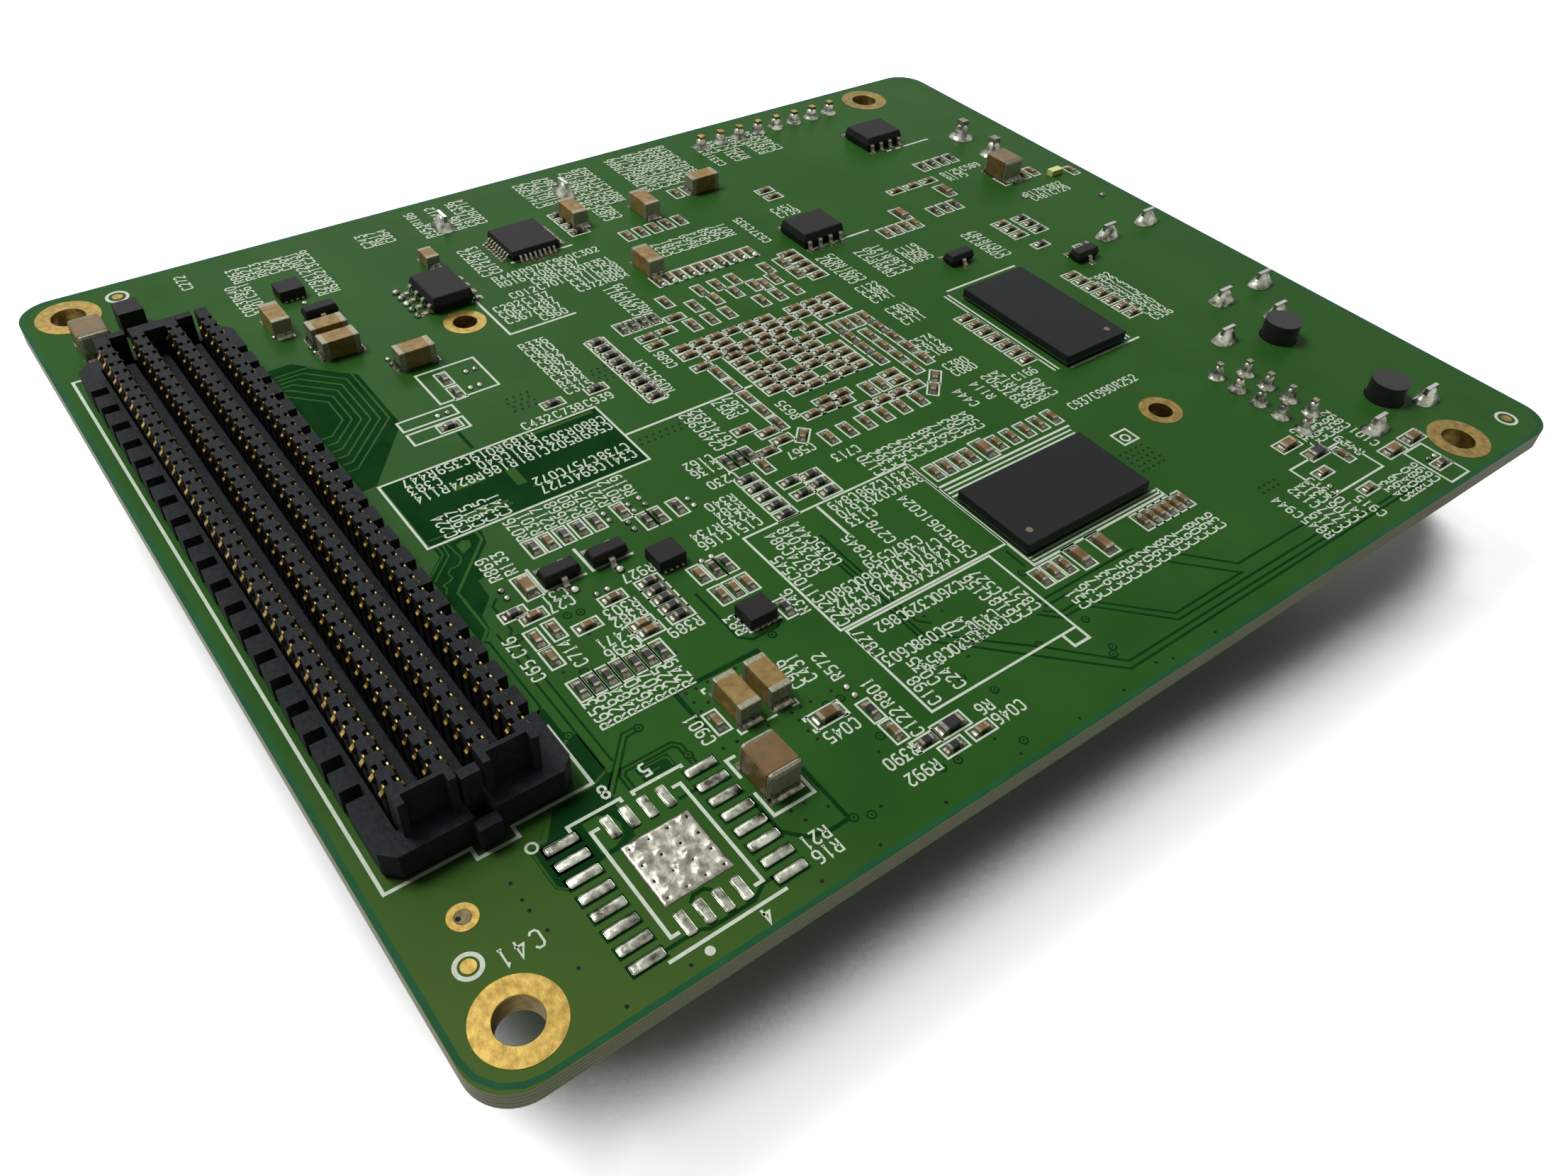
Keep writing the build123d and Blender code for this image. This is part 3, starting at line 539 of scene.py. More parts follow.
# %% [markdown]
# A part that comes many times is made once, round its own foot, and stamped wherever it sits. An
# instance for each would keep the file small too, but some hundred chip parts would then be some
# hundred pieces. Stamped into one mesh they are one piece, with one finish for each of its paints.

# %% Stamps and pieces
def template(name, build):
    """A small mesh that is made once, round its own foot, and stamped many times."""
    made = bpy.data.meshes.new(name)
    bm = bmesh.new()
    build(bm)
    bm.to_mesh(made)
    bm.free()
    return made


def stamp(bm, pattern, seats):
    """Copy a template to every seat: x and y in millimetres, and the turn in degrees."""
    for x, y, turn in seats:
        count = len(bm.verts)
        bm.from_mesh(pattern)
        bm.verts.ensure_lookup_table()
        place = Matrix.Translation(spot(x, y)) @ Matrix.Rotation(math.radians(turn), 4, "Z")
        bmesh.ops.transform(bm, matrix=place, verts=bm.verts[count:])


def piece(name, bm, finishes, replaced=(), smooth=False):
    """Close an open mesh into a piece of the board, with its finishes in the order of its paints."""
    bmesh.ops.recalc_face_normals(bm, faces=bm.faces)
    mesh = bpy.data.meshes.new(name)
    bm.to_mesh(mesh)
    bm.free()
    for one in finishes:
        mesh.materials.append(one)
    mesh.polygons.foreach_set("use_smooth", [smooth] * len(mesh.polygons))
    made = bpy.data.objects.new(name, mesh)
    bpy.context.scene.collection.objects.link(made)
    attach(made, "root")
    if replaced:
        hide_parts(*replaced)
    print(name, len(mesh.polygons), "faces")
    return made


print("a piece closes its mesh, takes its finishes and rides the board")

# %% [markdown]
# ## Reading seats from the solids
#
# The CAD already says where every small part sits. A node such as the chip capacitors holds one
# box per part, so its loose boxes are told apart, and each gives back its middle, its size and
# how it is turned. The detailed parts are then stamped exactly there. Points and edges are kept in
# the order of the mesh and not in a set, because a set's order changes from run to run.

# %% Seats of a node's boxes
same_place = 0.001 * mm


def loose_shapes(node):
    """The corner points of each separate solid of a CAD node."""
    bm = bmesh.new()
    bm.from_mesh(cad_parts[node].data)
    bmesh.ops.remove_doubles(bm, verts=bm.verts, dist=same_place)
    waiting = dict.fromkeys(bm.verts)
    shapes = []
    while waiting:
        reached = [waiting.popitem()[0]]
        points = []
        while reached:
            here = reached.pop()
            points.append(here.co.copy())
            for edge in here.link_edges:
                other = edge.other_vert(here)
                if other in waiting:
                    del waiting[other]
                    reached.append(other)
        shapes.append(points)
    bm.free()
    return shapes


def boxes_of(node):
    """Each box of a node as x, y, turn, length, width and height, in millimetres and degrees."""
    found = []
    for points in loose_shapes(node):
        top = max(p.z for p in points)
        upper = [p for p in points if abs(p.z - top) < same_place]
        middle = sum(upper, Vector()) / len(upper)
        start = max(upper, key=lambda p: (round(p.x / mm, 3), round(p.y / mm, 3)))
        sides = sorted((p - start for p in upper if p is not start), key=lambda s: s.length)
        turn = round(math.degrees(math.atan2(sides[1].y, sides[1].x))) % 180
        height = top - min(p.z for p in points)
        place = (middle - spot(0, 0)) / mm
        sizes = sides[1].length / mm, sides[0].length / mm, height / mm
        found.append((round(place.x, 3), round(place.y, 3), turn, *(round(s, 2) for s in sizes)))
    return sorted(found)


capacitor_boxes = boxes_of("chip_capacitors")
resistor_boxes = boxes_of("chip_resistors")
bulk_boxes = boxes_of("bulk_capacitors")
print("capacitors, resistors, large capacitors:", len(capacitor_boxes), len(resistor_boxes), len(bulk_boxes))
print("first:", capacitor_boxes[0])

# %% [markdown]
# ## Chip capacitors and resistors
#
# A chip capacitor is a fired clay brick whose two ends are dipped in metal, and solder climbs up
# those ends from the pads. A chip resistor is a clay brick too, with a black glaze on top. Each
# kind and size is made once as a template: brick, two end caps, two solder fillets and two pads.
# One random tint a part would be nicer, but clay varies over the board anyway, so the finish's
# own noise, with a grain wider than a part, gives each one a slightly different tan.

# %% Templates of chip parts
pad_height, pad_reach, pad_margin = 0.03, 0.3, 0.05
cap_skin, glaze_height, fine_edge = 0.02, 0.06, 0.01
bulk_width, bulk_edge = 2.4, 0.3
body_paint, end_paint, solder_paint, glaze_paint = 0, 1, 2, 3


def fillet(bm, end, side, width, climb, paint):
    """Solder that climbs one end of a chip, as a hollow curve between the pad and the end."""
    reach = 0.85 * pad_reach
    curve = [(0, 0), (reach, 0), (0.42 * reach, 0.26 * climb), (0.12 * reach, 0.6 * climb), (0, climb)]
    rows = []
    for y in (-width / 2, width / 2):
        rows.append([bm.verts.new(Vector((side * (end + x), y, pad_height + z)) * mm) for x, z in curve])
    solid(bm, rows, paint)


def chip_part(length, width, height, end, glazed):
    """A builder for one chip part's template."""

    def build(bm):
        half = length / 2
        inset = end * 0.6
        wide = width > bulk_width
        round_edge = bulk_edge if wide else 0.03 + 0.03 * height
        body = half - inset, width / 2 - cap_skin
        low = -body[0], -body[1], pad_height
        brick(bm, low, (*body, height - cap_skin), 0.4 * round_edge, glaze_paint if wide else body_paint)
        if glazed:
            top = half - end * 0.8, width / 2 - cap_skin
            low = -top[0], -top[1], height - glaze_height
            brick(bm, low, (*top, height), fine_edge, glaze_paint)
        for side in (-1, 1):
            ends = sorted((side * half, side * (half - end)))
            rounds = 2 if height > 1 else 1
            low, high = (ends[0], -width / 2, pad_height), (ends[1], width / 2, height)
            brick(bm, low, high, round_edge, end_paint, rounds)
            fillet(bm, half - cap_skin, side, 0.86 * width, min(0.55 * height, 0.7), solder_paint)
            pad = sorted((side * (half - end), side * (half + pad_reach)))
            pad_side = width / 2 + pad_margin
            brick(bm, (pad[0], -pad_side, 0), (pad[1], pad_side, pad_height), fine_edge, solder_paint)

    return build


end_lengths = {1.0: 0.24, 1.6: 0.32, 2.0: 0.42, 3.2: 0.52}


def chips(name, boxes, finishes, node, glazed):
    """Stamp one detailed chip part over every box, with a template for each size."""
    bm = bmesh.new()
    for length, width, height in sorted({box[3:] for box in boxes}):
        build = chip_part(length, width, height, end_lengths[round(length, 1)], glazed)
        pattern = template(f"{name}_{length}", build)
        seats = [box[:3] for box in boxes if box[3:] == (length, width, height)]
        stamp(bm, pattern, seats)
        bpy.data.meshes.remove(pattern)
    return piece(name, bm, finishes, (node,))


print("end caps by length:", end_lengths)

# %% [markdown]
# The solids leave out some of the smallest parts, because there are so many. They are listed
# here in rows, in millimetres from the corner, and join those that are read from the frame. Many
# of the rows are counted from the middle of the processor, which sits on the underside.

# %% Chip parts that the solids leave out
def in_row(x, y, turn, count, dx=0.0, dy=0.0):
    """Seats of a straight row of chip parts."""
    return [(x + dx * i, y + dy * i, turn) for i in range(count)]


mid_x, mid_y = 52.3, 41.65
small_chip = (1.0, 0.5, 0.35)
larger_chip = (1.6, 0.8, 0.45)
extra_capacitors = (
    [(42.3, 37.2, 0), (42.3, 33.9, 0), (43.8, 35.9, 0), (44.2, 34.5, 0)]
    + in_row(mid_x - 3.9, mid_y - 5.75, 0, 3, dx=1.6)
    + in_row(mid_x + 10.1, mid_y + 11.2, 0, 5, dy=1.15)
    + in_row(mid_x + 31.0, mid_y - 9.65, 0, 7, dy=1.3)
    + in_row(mid_x + 9.3, mid_y - 4.6, 90, 3, dy=2.0)
    + in_row(mid_x - 3.2, mid_y + 18.1, 90, 10, dx=1.15)
    + in_row(mid_x - 2.8, mid_y + 12.9, 90, 5, dx=2.25)
    + [(79.4, 4.0, 0), (100.0, 55.5, 90)]
    + in_row(73.2, 55.6, 90, 4, dx=1.3)
    + in_row(84.6, 48.2, 0, 3, dy=1.3)
    + in_row(80.0, 61.8, 0, 3, dx=2.3)
    + in_row(91.6, 57.6, 90, 4, dx=1.45)
    + in_row(60.0, 73.2, 90, 4, dx=1.4)
    + in_row(51.2, 68.4, 90, 5, dx=1.5)
    + in_row(68.2, 67.5, 0, 2, dy=1.5)
)
extra_resistors = (
    in_row(87.2, 48.0, 0, 3, dy=1.3)
    + in_row(86.2, 64.6, 90, 4, dx=1.4)
    + in_row(47.6, 71.5, 0, 4, dy=1.3)
    + in_row(80.6, 56.4, 90, 3, dx=1.4)
    + in_row(39.0, 44.9, 0, 9, dy=1.15)
    + [(31.5, 48.5, 0), (35.5, 48.4, 0), (85.1, 45.7, 0), (88.6, 43.2, 0)]
    + in_row(mid_x - 10.3, mid_y + 13.1, 90, 4, dx=1.05)
)
capacitor_boxes += [(x, y, turn, *small_chip) for x, y, turn in extra_capacitors]
resistor_boxes += [(x, y, turn, *small_chip) for x, y, turn in extra_resistors]
print("chip parts so far:", len(capacitor_boxes) + len(resistor_boxes))

# %% [markdown]
# The parts behind the processor are packed as close as their printed boxes allow. Writing down each
# place would take a long list, so a rectangle is filled with a grid instead, which leaves out what
# would touch a part that is there already, and a seat here and there, as the real field does.

# %% Grids round the processor
box_end, box_side, shared_line = 0.46, 0.25, 0.2


def half_sizes(box):
    """Half the width and depth of the printed box round a chip part, along X and Y."""
    along, across = box[3] / 2 + box_end, box[4] / 2 + box_side
    return (along, across) if box[2] % 180 == 0 else (across, along)


def fill(x0, y0, x1, y1, turn, dx, dy, missing=7):
    """Fill a rectangle with a grid of chip capacitors, round the parts that are already there."""
    count = 0
    for i in range(int((x1 - x0) / dx) + 1):
        for j in range(int((y1 - y0) / dy) + 1):
            new = (x0 + i * dx, y0 + j * dy, turn, *small_chip)
            wide, deep = half_sizes(new)
            clashes = [
                box for box in capacitor_boxes + resistor_boxes + bulk_boxes
                if abs(box[0] - new[0]) < wide + half_sizes(box)[0] - shared_line
                and abs(box[1] - new[1]) < deep + half_sizes(box)[1] - shared_line
            ]
            if not clashes and (3 * i + 5 * j) % missing:
                capacitor_boxes.append(new)
                count += 1
    return count


field_counts = [
    fill(mid_x - 7.6, mid_y + 5.45, mid_x + 9.4, mid_y + 8.9, 0, 1.75, 1.15),
    fill(mid_x - 7.7, mid_y - 4.6, mid_x - 5.4, mid_y + 4.8, 0, 1.75, 1.15),
    fill(mid_x + 5.9, mid_y - 4.4, mid_x + 9.6, mid_y + 4.6, 90, 1.1, 1.9, 9),
    fill(mid_x - 6.6, mid_y + 10.4, mid_x + 8.6, mid_y + 15.4, 90, 1.9, 2.2, 4),
    fill(mid_x - 9.2, mid_y + 8.0, mid_x - 5.0, mid_y + 12.6, 0, 1.9, 1.4, 4),
    fill(mid_x - 2.0, mid_y - 6.0, mid_x + 6.0, mid_y - 4.4, 0, 1.8, 1.2, 9),
]
print("added to the field:", field_counts)
capacitor_boxes += [(84.6, 59.2, 90, *larger_chip), (77.1, 57.7, 90, *larger_chip)]
print("chip parts in all:", len(capacitor_boxes) + len(resistor_boxes))

# %% Stamp the chip parts
clay_finishes = (small_clay, tin, solder)
chips("ceramic_chips", capacitor_boxes, clay_finishes, "chip_capacitors", False)
resistor_finishes = (resistor_body, tin, solder, black_glaze)
chips("resistor_chips", resistor_boxes, resistor_finishes, "chip_resistors", True)
bulk_finishes = (tan_clay, dull_silver, solder, brown_clay)
chips("large_ceramic_chips", bulk_boxes, bulk_finishes, "bulk_capacitors", False)

# %% [markdown]
# ## Packages with legs
#
# A small chip is resin moulded round a metal frame. The mould parts at mid height, so the sides
# slope both ways from a waist, and the legs come out there, bend down and end in flat feet. The
# feet stand in solder. Straight boxes would do for the legs from far off, but the bend is what
# catches the light, so each is a strip along a bent path. One template holds the resin, the legs
# and their pads, and it is stamped over each box of the frame.

# %% Moulded body and bent legs
resin_paint, leg_paint, joint_paint, base_paint = 0, 1, 2, 3
resin_edge, leg_thickness, joint_height, joint_margin = 0.06, 0.13, 0.05, 0.08


def moulded(bm, length, width, low, high, slope):
    """A resin body round the origin whose sides slope from a waist at mid height."""
    old = set(bm.faces)
    waist = (low + high) / 2
    levels = [(low, slope), (waist, 0), (high, slope)]
    rows = []
    for z, inset in levels:
        x, y = length / 2 - inset, width / 2 - inset
        rows.append([bm.verts.new(Vector((*corner, z)) * mm) for corner in rectangle(-x, -y, x, y)])
    solid(bm, rows, resin_paint)
    upper = set(rows[1] + rows[2])
    waist_only = set(rows[1])
    edges = dict.fromkeys(e for v in rows[1] + rows[2] for e in v.link_edges)
    edges = [e for e in edges if upper.issuperset(e.verts) and not waist_only.issuperset(e.verts)]
    rounded(bm, old, edges, resin_edge, 1, resin_paint)


def bent(bm, path, thickness, width, place, paint):
    """A flat metal strip bent along a path of reach and height, put at a place and turned."""
    points = [Vector(p) for p in path]
    rows = []
    for i, here in enumerate(points):
        back = points[max(i - 1, 0)]
        ahead = points[min(i + 1, len(points) - 1)]
        way = (ahead - back).normalized()
        across = Vector((-way.y, way.x)) * thickness / 2
        corners = []
        for point, sides in ((here + across, (-1, 1)), (here - across, (1, -1))):
            for side in sides:
                corners.append(place @ (Vector((point.x, side * width / 2, point.y)) * mm))
        rows.append([bm.verts.new(corner) for corner in corners])
    solid(bm, rows, paint)


def outward(x, y, turn):
    """A place round the origin in millimetres, with its reach turned by some degrees."""
    return Matrix.Translation(Vector((x, y, 0)) * mm) @ Matrix.Rotation(math.radians(turn), 4, "Z")


def legged(length, width, height, slope, legs, leg_width, reach):
    """A builder for a chip with legs, each given as its place on the waist and its turn."""
    waist = height / 2
    foot = joint_height + leg_thickness / 2
    path = [(-0.15, waist), (0.1, waist), (0.2, waist - 0.08), (0.26, 0.3), (0.34, 0.14), (0.44, foot)]
    path.append((reach, foot))
    joint_side = leg_width / 2 + joint_margin
    low, high = (reach * 0.25, -joint_side, 0), (reach + 0.28, joint_side, joint_height)

    def build(bm):
        moulded(bm, length, width, 0.08, height, slope)
        for x, y, turn in legs:
            place = outward(x, y, turn)
            bent(bm, path, leg_thickness, leg_width, place, leg_paint)
            brick(bm, low, high, 0.02, joint_paint, place=place)

    return build


print("legs are", leg_thickness, "mm thick")

# %% [markdown]
# The kinds differ only in their size and in where the legs come out, so each kind is one call with
# its list of legs: a place on the waist, and which way it looks. Copying one finished leg by hand
# would give the same picture, but a list can be checked against the pitch of the real package.

# %% Chips with legs
def spread(count, pitch):
    """Steps of a row, measured from its middle."""
    return [(i - (count - 1) / 2) * pitch for i in range(count)]


def chips_with_legs(name, nodes, build):
    """Stamp one template over each box of the first node, for all the nodes that it replaces."""
    bm = bmesh.new()
    pattern = template(name, build)
    stamp(bm, pattern, [box[:3] for box in boxes_of(nodes[0])])
    bpy.data.meshes.remove(pattern)
    return piece(name, bm, (chip_resin, tin, solder, white_clay), nodes)


legs_three = [(0, -0.65, -90)] + [(x, 0.65, 90) for x in spread(2, 1.9)]
three_legs = legged(2.9, 1.3, 1.1, 0.14, legs_three, 0.42, 0.62)
chips_with_legs("three_leg_chips", ("small_transistors", "transistor_leads"), three_legs)

legs_eight = [(x, side * 1.95, side * 90) for side in (-1, 1) for x in spread(4, 1.27)]
eight_legs = legged(4.9, 3.9, 1.5, 0.18, legs_eight, 0.42, 0.75)
eight_nodes = ("eight_lead_chips", "eight_lead_chip_leads")
chips_with_legs("eight_leg_chips", eight_nodes, eight_legs)

legs_square = [(*swung(2.5, y, turn), turn) for turn in (0, 90, 180, 270) for y in spread(8, 0.5)]
square_legs = legged(5.0, 5.0, 1.0, 0.1, legs_square, 0.22, 0.62)
chips_with_legs("square_flat_chip", ("square_chip", "square_chip_leads"), square_legs)

# %% [markdown]
# The leadless power chips show only a row of tinned ends at their feet. The memories are larger:
# black resin on a thin green base that stands on solder balls, with a small round mark over the
# first ball. The balls are bricks with round edges, because only their dark row is seen under the
# base, and real spheres would cost many faces there.

# %% Leadless chips and memories
def leadless(bm):
    """A leadless chip with four tinned ends along each long side."""
    brick(bm, (-1.125, -0.975, 0.04), (1.125, 0.975, 1.0), 0.04, resin_paint)
    for side in (-1, 1):
        for x in spread(4, 0.5):
            low, high = sorted((side * 0.9, side * 1.2))
            brick(bm, (x - 0.13, low, 0), (x + 0.13, high, 0.12), 0.03, leg_paint)


chips_with_legs("leadless_power_chips", ("leadless_chips",), leadless)

ball_gap, ball_radius, base_height = 0.18, 0.18, 0.36
mark_inset, mark_radius, mark_height, mark_paint = 1.25, 0.28, 0.006, 2


def memory(length, width, height):
    """A builder for a memory: solder balls, a thin base and the resin."""

    def build(bm):
        x, y = length / 2, width / 2
        for bx in spread(12, 0.8):
            for by in (-y + 0.5, y - 0.5):
                low = bx - ball_radius, by - ball_radius, 0
                high = bx + ball_radius, by + ball_radius, ball_gap
                brick(bm, low, high, 0.06, leg_paint)
        brick(bm, (-x, -y, ball_gap), (x, y, base_height), 0.02, base_paint)
        brick(bm, (-x, -y, base_height), (x, y, height), 0.05, resin_paint)

    return build


mark_grey = grained("memory_mark", (112, 104, 84), (132, 124, 104), 0.2, 0.5, specular=0.2)
memory_finishes = (memory_resin, tin, mark_grey, substrate)
for name, node, mark in (
    ("near_memory", "memory_chip_near", (-1, -1)),
    ("far_memory", "memory_chip_far", (1, -1)),
):
    bm = bmesh.new()
    x, y, turn, length, width, height = boxes_of(node)[0]
    pattern = template(name, memory(length, width, height))
    stamp(bm, pattern, [(x, y, turn)])
    bpy.data.meshes.remove(pattern)
    across, along = (length, width) if turn == 0 else (width, length)
    mark_x = x + mark[0] * (across / 2 - mark_inset)
    mark_y = y + mark[1] * (along / 2 - mark_inset)
    disc(bm, mark_x, mark_y, mark_radius, height, height + mark_height, 20, mark_paint)
    piece(name, bm, memory_finishes, (node,))
print("memories stand on balls of", ball_gap, "mm")

# %% [markdown]
# ## Springs of the array socket
#
# Each contact is a narrow gold strip that rises behind its rib, bows out of the notch where the
# plug rubs on it, and tucks its tip back in. The frame's blades say where each one is and which
# way it bows. A blade's few flat faces glint all at once, so they are replaced by strips bent along
# a smooth curve, which glint at the knee only.

# %% Contact springs
def blade_seats():
    """Each blade's back, middle and foot in metres, and the way that it bows along X."""
    seats = []
    for points in loose_shapes("array_socket_contacts"):
        xs = sorted(p.x for p in points)
        bows_right = xs[2] - xs[0] < xs[-1] - xs[-3]
        back = xs[0] if bows_right else xs[-1]
        y = sum(p.y for p in points) / len(points)
        low = min(p.z for p in points)
        seats.append((round(back, 6), round(y, 6), low, 1 if bows_right else -1))
    return sorted(seats)


spring_curve = [
    (0.09, 0.02), (0.1, 1.5), (0.18, 2.3), (0.34, 2.88), (0.46, 3.1), (0.52, 3.24), (0.5, 3.34),
    (0.38, 3.43), (0.28, 3.58), (0.24, 3.92),
]
spring_width, spring_thickness = 0.3, 0.1
bm = bmesh.new()
seats = blade_seats()
for back, y, low, way in seats:
    place = Matrix.Translation((back, y, low)) @ Matrix.Diagonal((way, 1, 1, 1))
    bent(bm, spring_curve, spring_thickness, spring_width, place, 0)
piece("socket_springs", bm, (spring_gold,), ("array_socket_contacts",))
print("springs:", len(seats))

# %% [markdown]
# ## Plated holes and round marks
#
# The screw holes are plated through: a gold ring on each face and a gold barrel between them.
# Three separate rings would leave seams at the hole's rim, so one turned profile that runs down
# the hole's wall makes all three at once. The small hole near the corner isn't drilled in the
# solid, so a gold ring and two thin discs stand for it: a tan one for its wall, and a small dark
# one off its middle, which is painted shade where the inside of the hole lies in shadow. The small
# round marks that a placing machine looks for are gold dots in a white ring.

# %% Gold rings
plate, wall_plate, barrel_lip = 0.035, 0.07, 0.03
depth = (board_high.z - board_low.z) / mm


def plated_hole(bm, x, y, hole, ring):
    """A ring on both faces and the barrel between them, as one closed turned shape."""
    barrel, wall = hole - wall_plate, hole - 0.005
    lip, under = barrel + barrel_lip, -depth - plate
    profile = [(ring, 0), (ring, plate), (lip, plate), (barrel, 0), (barrel, -depth)]
    profile += [(lip, under), (ring, under), (ring, -depth), (wall, -depth), (wall, 0)]
    turned(bm, x, y, profile, 48, closed=True)


corner_holes = [(x, y) for x in (3.67, 91.9) for y in (3.56, 81.14)]
cooler_holes = [(31.17, 63.01), (73.43, 20.29)]
ground_hole, ground_hole_shade = (4.1, 10.5), (3.84, 10.54)
placing_marks = [(3.0, 7.7), (8.0, 82.3), (98.2, 2.8)]
bm = bmesh.new()
for x, y in corner_holes:
    plated_hole(bm, x, y, 1.45, 2.6)
for x, y in cooler_holes:
    plated_hole(bm, x, y, 1.1, 1.85)
turned(bm, *ground_hole, [(0.46, 0), (0.5, plate), (0.9, plate), (0.9, 0)], 32, closed=True)
for x, y in placing_marks:
    disc(bm, x, y, 0.45, 0, plate, 24)
disc(bm, *ground_hole, 0.45, 0, 0.012, 24, paint=1)
# Painted shade: a dark disc off the hole's middle, where the inside of the hole lies in shadow
disc(bm, *ground_hole_shade, 0.16, 0, 0.018, 16, paint=2)
piece("gold_rings", bm, (gold, barrel_gold, painted_hole_shade))

# %% [markdown]
# ## White print
#
# The print is ink, thinner than a hair. Its lines are strips: outlines of connectors and chips, a
# box round every small part, and the designators beside them. Designators are drawn with a
# pen-plotter's letters, where each letter is a few straight strokes. A font would work too, but it
# makes many more faces a letter, and here are hundreds of them. Only the letters that name a kind
# of part are used, C for a capacitor and R for a resistor, with made-up numbers.

# %% Plotter letters
ink = 0.02
letter_strokes = {
    "0": [[(0, 1), (0, 5), (1, 6), (3, 6), (4, 5), (4, 1), (3, 0), (1, 0), (0, 1)]],
    "1": [[(1, 5), (2, 6), (2, 0)], [(1, 0), (3, 0)]],
    "2": [[(0, 5), (1, 6), (3, 6), (4, 5), (4, 4), (0, 0), (4, 0)]],
    "3": [[(0, 6), (4, 6), (2, 3.6), (3, 3.6), (4, 2.6), (4, 1), (3, 0), (1, 0), (0, 1)]],
    "4": [[(3, 0), (3, 6), (0, 2), (4, 2)]],
    "5": [[(4, 6), (0, 6), (0, 3.6), (3, 3.6), (4, 2.6), (4, 1), (3, 0), (0, 0)]],
    "6": [[(3.6, 6), (1, 6), (0, 5), (0, 1), (1, 0), (3, 0), (4, 1), (4, 2.5), (3, 3.4), (0.2, 3.4)]],
    "7": [[(0, 6), (4, 6), (1.4, 0)]],
    "8": [
        [(1, 3.1), (0, 4), (0, 5), (1, 6), (3, 6), (4, 5), (4, 4), (3, 3.1), (1, 3.1)],
        [(1, 3.1), (0, 2.1), (0, 1), (1, 0), (3, 0), (4, 1), (4, 2.1), (3, 3.1)],
    ],
    "9": [[(0.4, 0), (3, 0), (4, 1), (4, 5), (3, 6), (1, 6), (0, 5), (0, 3.6), (1, 2.6), (3.8, 2.6)]],
    "C": [[(4, 5), (3, 6), (1, 6), (0, 5), (0, 1), (1, 0), (3, 0), (4, 1)]],
    "R": [[(0, 0), (0, 6), (3, 6), (4, 5), (4, 4), (3, 3), (0, 3)], [(2, 3), (4, 0)]],
}
letter_height, letter_pitch, letter_width, pen = 0.88, 0.68, 0.72, 0.135


def write(bm, text, x, y, turn, height=letter_height, pitch=letter_pitch, line=pen):
    """Write a word in strokes from the left end of its base line, in millimetres and degrees."""
    unit = height / 6
    for number, letter in enumerate(text):
        left = number * pitch
        for stroke in letter_strokes[letter]:
            steps = [swung(left + a * unit * letter_width, b * unit, turn) for a, b in stroke]
            strip(bm, [Vector((x, y)) + step for step in steps], line, 0, ink)


numbers = random.Random(41)


def designator(letter, digits):
    """A made-up designator, such as C and three digits."""
    return letter + "".join(numbers.choice("0123456789") for _ in range(digits))


print("letters:", "".join(letter_strokes))

# %% Outlines
print_line = 0.23
outlines = [
    [
        (1.9, 71.3), (1.27, 71.3), (1.27, 14.18), (6.48, 14.18), (6.48, 13.33), (9.1, 13.33),
        (9.1, 14.18), (14.43, 14.18), (14.43, 19.6),
    ],
    [(50.5, 26.6), (50.5, 12.75), (64.9, 12.75), (64.9, 13.6)],
    [(50.5, 23.1), (65.2, 23.1)],
    [(70.9, 44.1), (79.9, 44.1)],
    [(34.2, 41.8), (46.6, 41.8)],
    [(11.6, 11.9), (11.6, 12.3), (15.15, 12.3), (15.15, 12.0)],
    [(16.0, 12.0), (16.0, 12.3), (19.45, 12.3), (19.45, 12.1)],
    [(18.1, 11.2), (18.7, 11.2), (18.7, 2.96), (18.1, 2.96)],
    [(13.1, 11.2), (12.53, 11.2), (12.53, 2.96), (13.1, 2.96)],
    [(11.6, 1.78), (19.55, 1.78)],
    [(71.6, 28.9), (80.6, 28.9)],
    [(21.9, 8.1), (21.9, 6.1), (24.9, 6.1), (24.9, 8.1)],
    [(21.9, 9.4), (21.9, 11.0), (22.6, 11.0)],
    [(41.4, 26.6), (41.4, 22.5)],
    [(20.2, 32.6), (20.2, 29.9), (23.5, 29.9)],
    [(24.0, 32.6), (24.0, 29.9), (27.3, 29.9)],
    [(29.6, 20.9), (29.6, 18.9), (32.2, 18.9)],
    [(33.5, 65.5), (33.5, 59.2), (40.0, 59.2)],
    [(84.9, 69.5), (91.5, 69.5)],
    [(39.3, 69.7), (45.8, 69.7)],
    [(72.2, 57.0), (64.4, 57.0)],
    [(47.0, 6.6), (47.0, 5.45), (48.43, 5.45), (48.43, 6.6)],
]
corner_ticks = [
    [(23.9, 12.6), (23.9, 12.15), (24.4, 12.15)],
    [(25.9, 12.15), (26.7, 12.15)],
    [(27.9, 12.15), (28.4, 12.15), (28.4, 12.6)],
    [(23.9, 16.1), (23.9, 16.5), (24.2, 16.5)],
]
for x, inwards in ((27.8, 0.3), (30.4, -0.3)):
    for y, upwards in ((9.6, 0.3), (10.9, -0.3)):
        corner_ticks.append([(x, y + upwards), (x, y), (x + inwards, y)])
memory_lines = [[(50.75, y), (64.9, y)] for y in (13.12, 13.48, 21.7, 22.15, 22.6)]
memory_lines += [[(x, 29.3), (x, 43.6)] for x in (70.1, 70.55, 79.35, 79.8)]
bm = bmesh.new()
for paths, share in ((outlines, 1.0), (corner_ticks, 0.7), (memory_lines, 0.8)):
    for path in paths:
        strip(bm, path, print_line * share, 0, ink)
frames = [
    (34.97, 6.69, 48.43, 15.32), (34.7, 15.58, 50.4, 26.75), (15.58, 38.2, 34.1, 46.3),
    (67.1, 18.7, 68.8, 20.2), (38.35, 44.2, 39.7, 54.7), (41.9, 54.1, 45.7, 55.4),
    (24.0, 53.2, 29.2, 57.8), (20.0, 51.4, 24.7, 52.7), (20.0, 49.4, 24.7, 50.9),
    (76.0, 5.0, 83.0, 9.0), (86.0, 0.6, 88.5, 5.0),
]
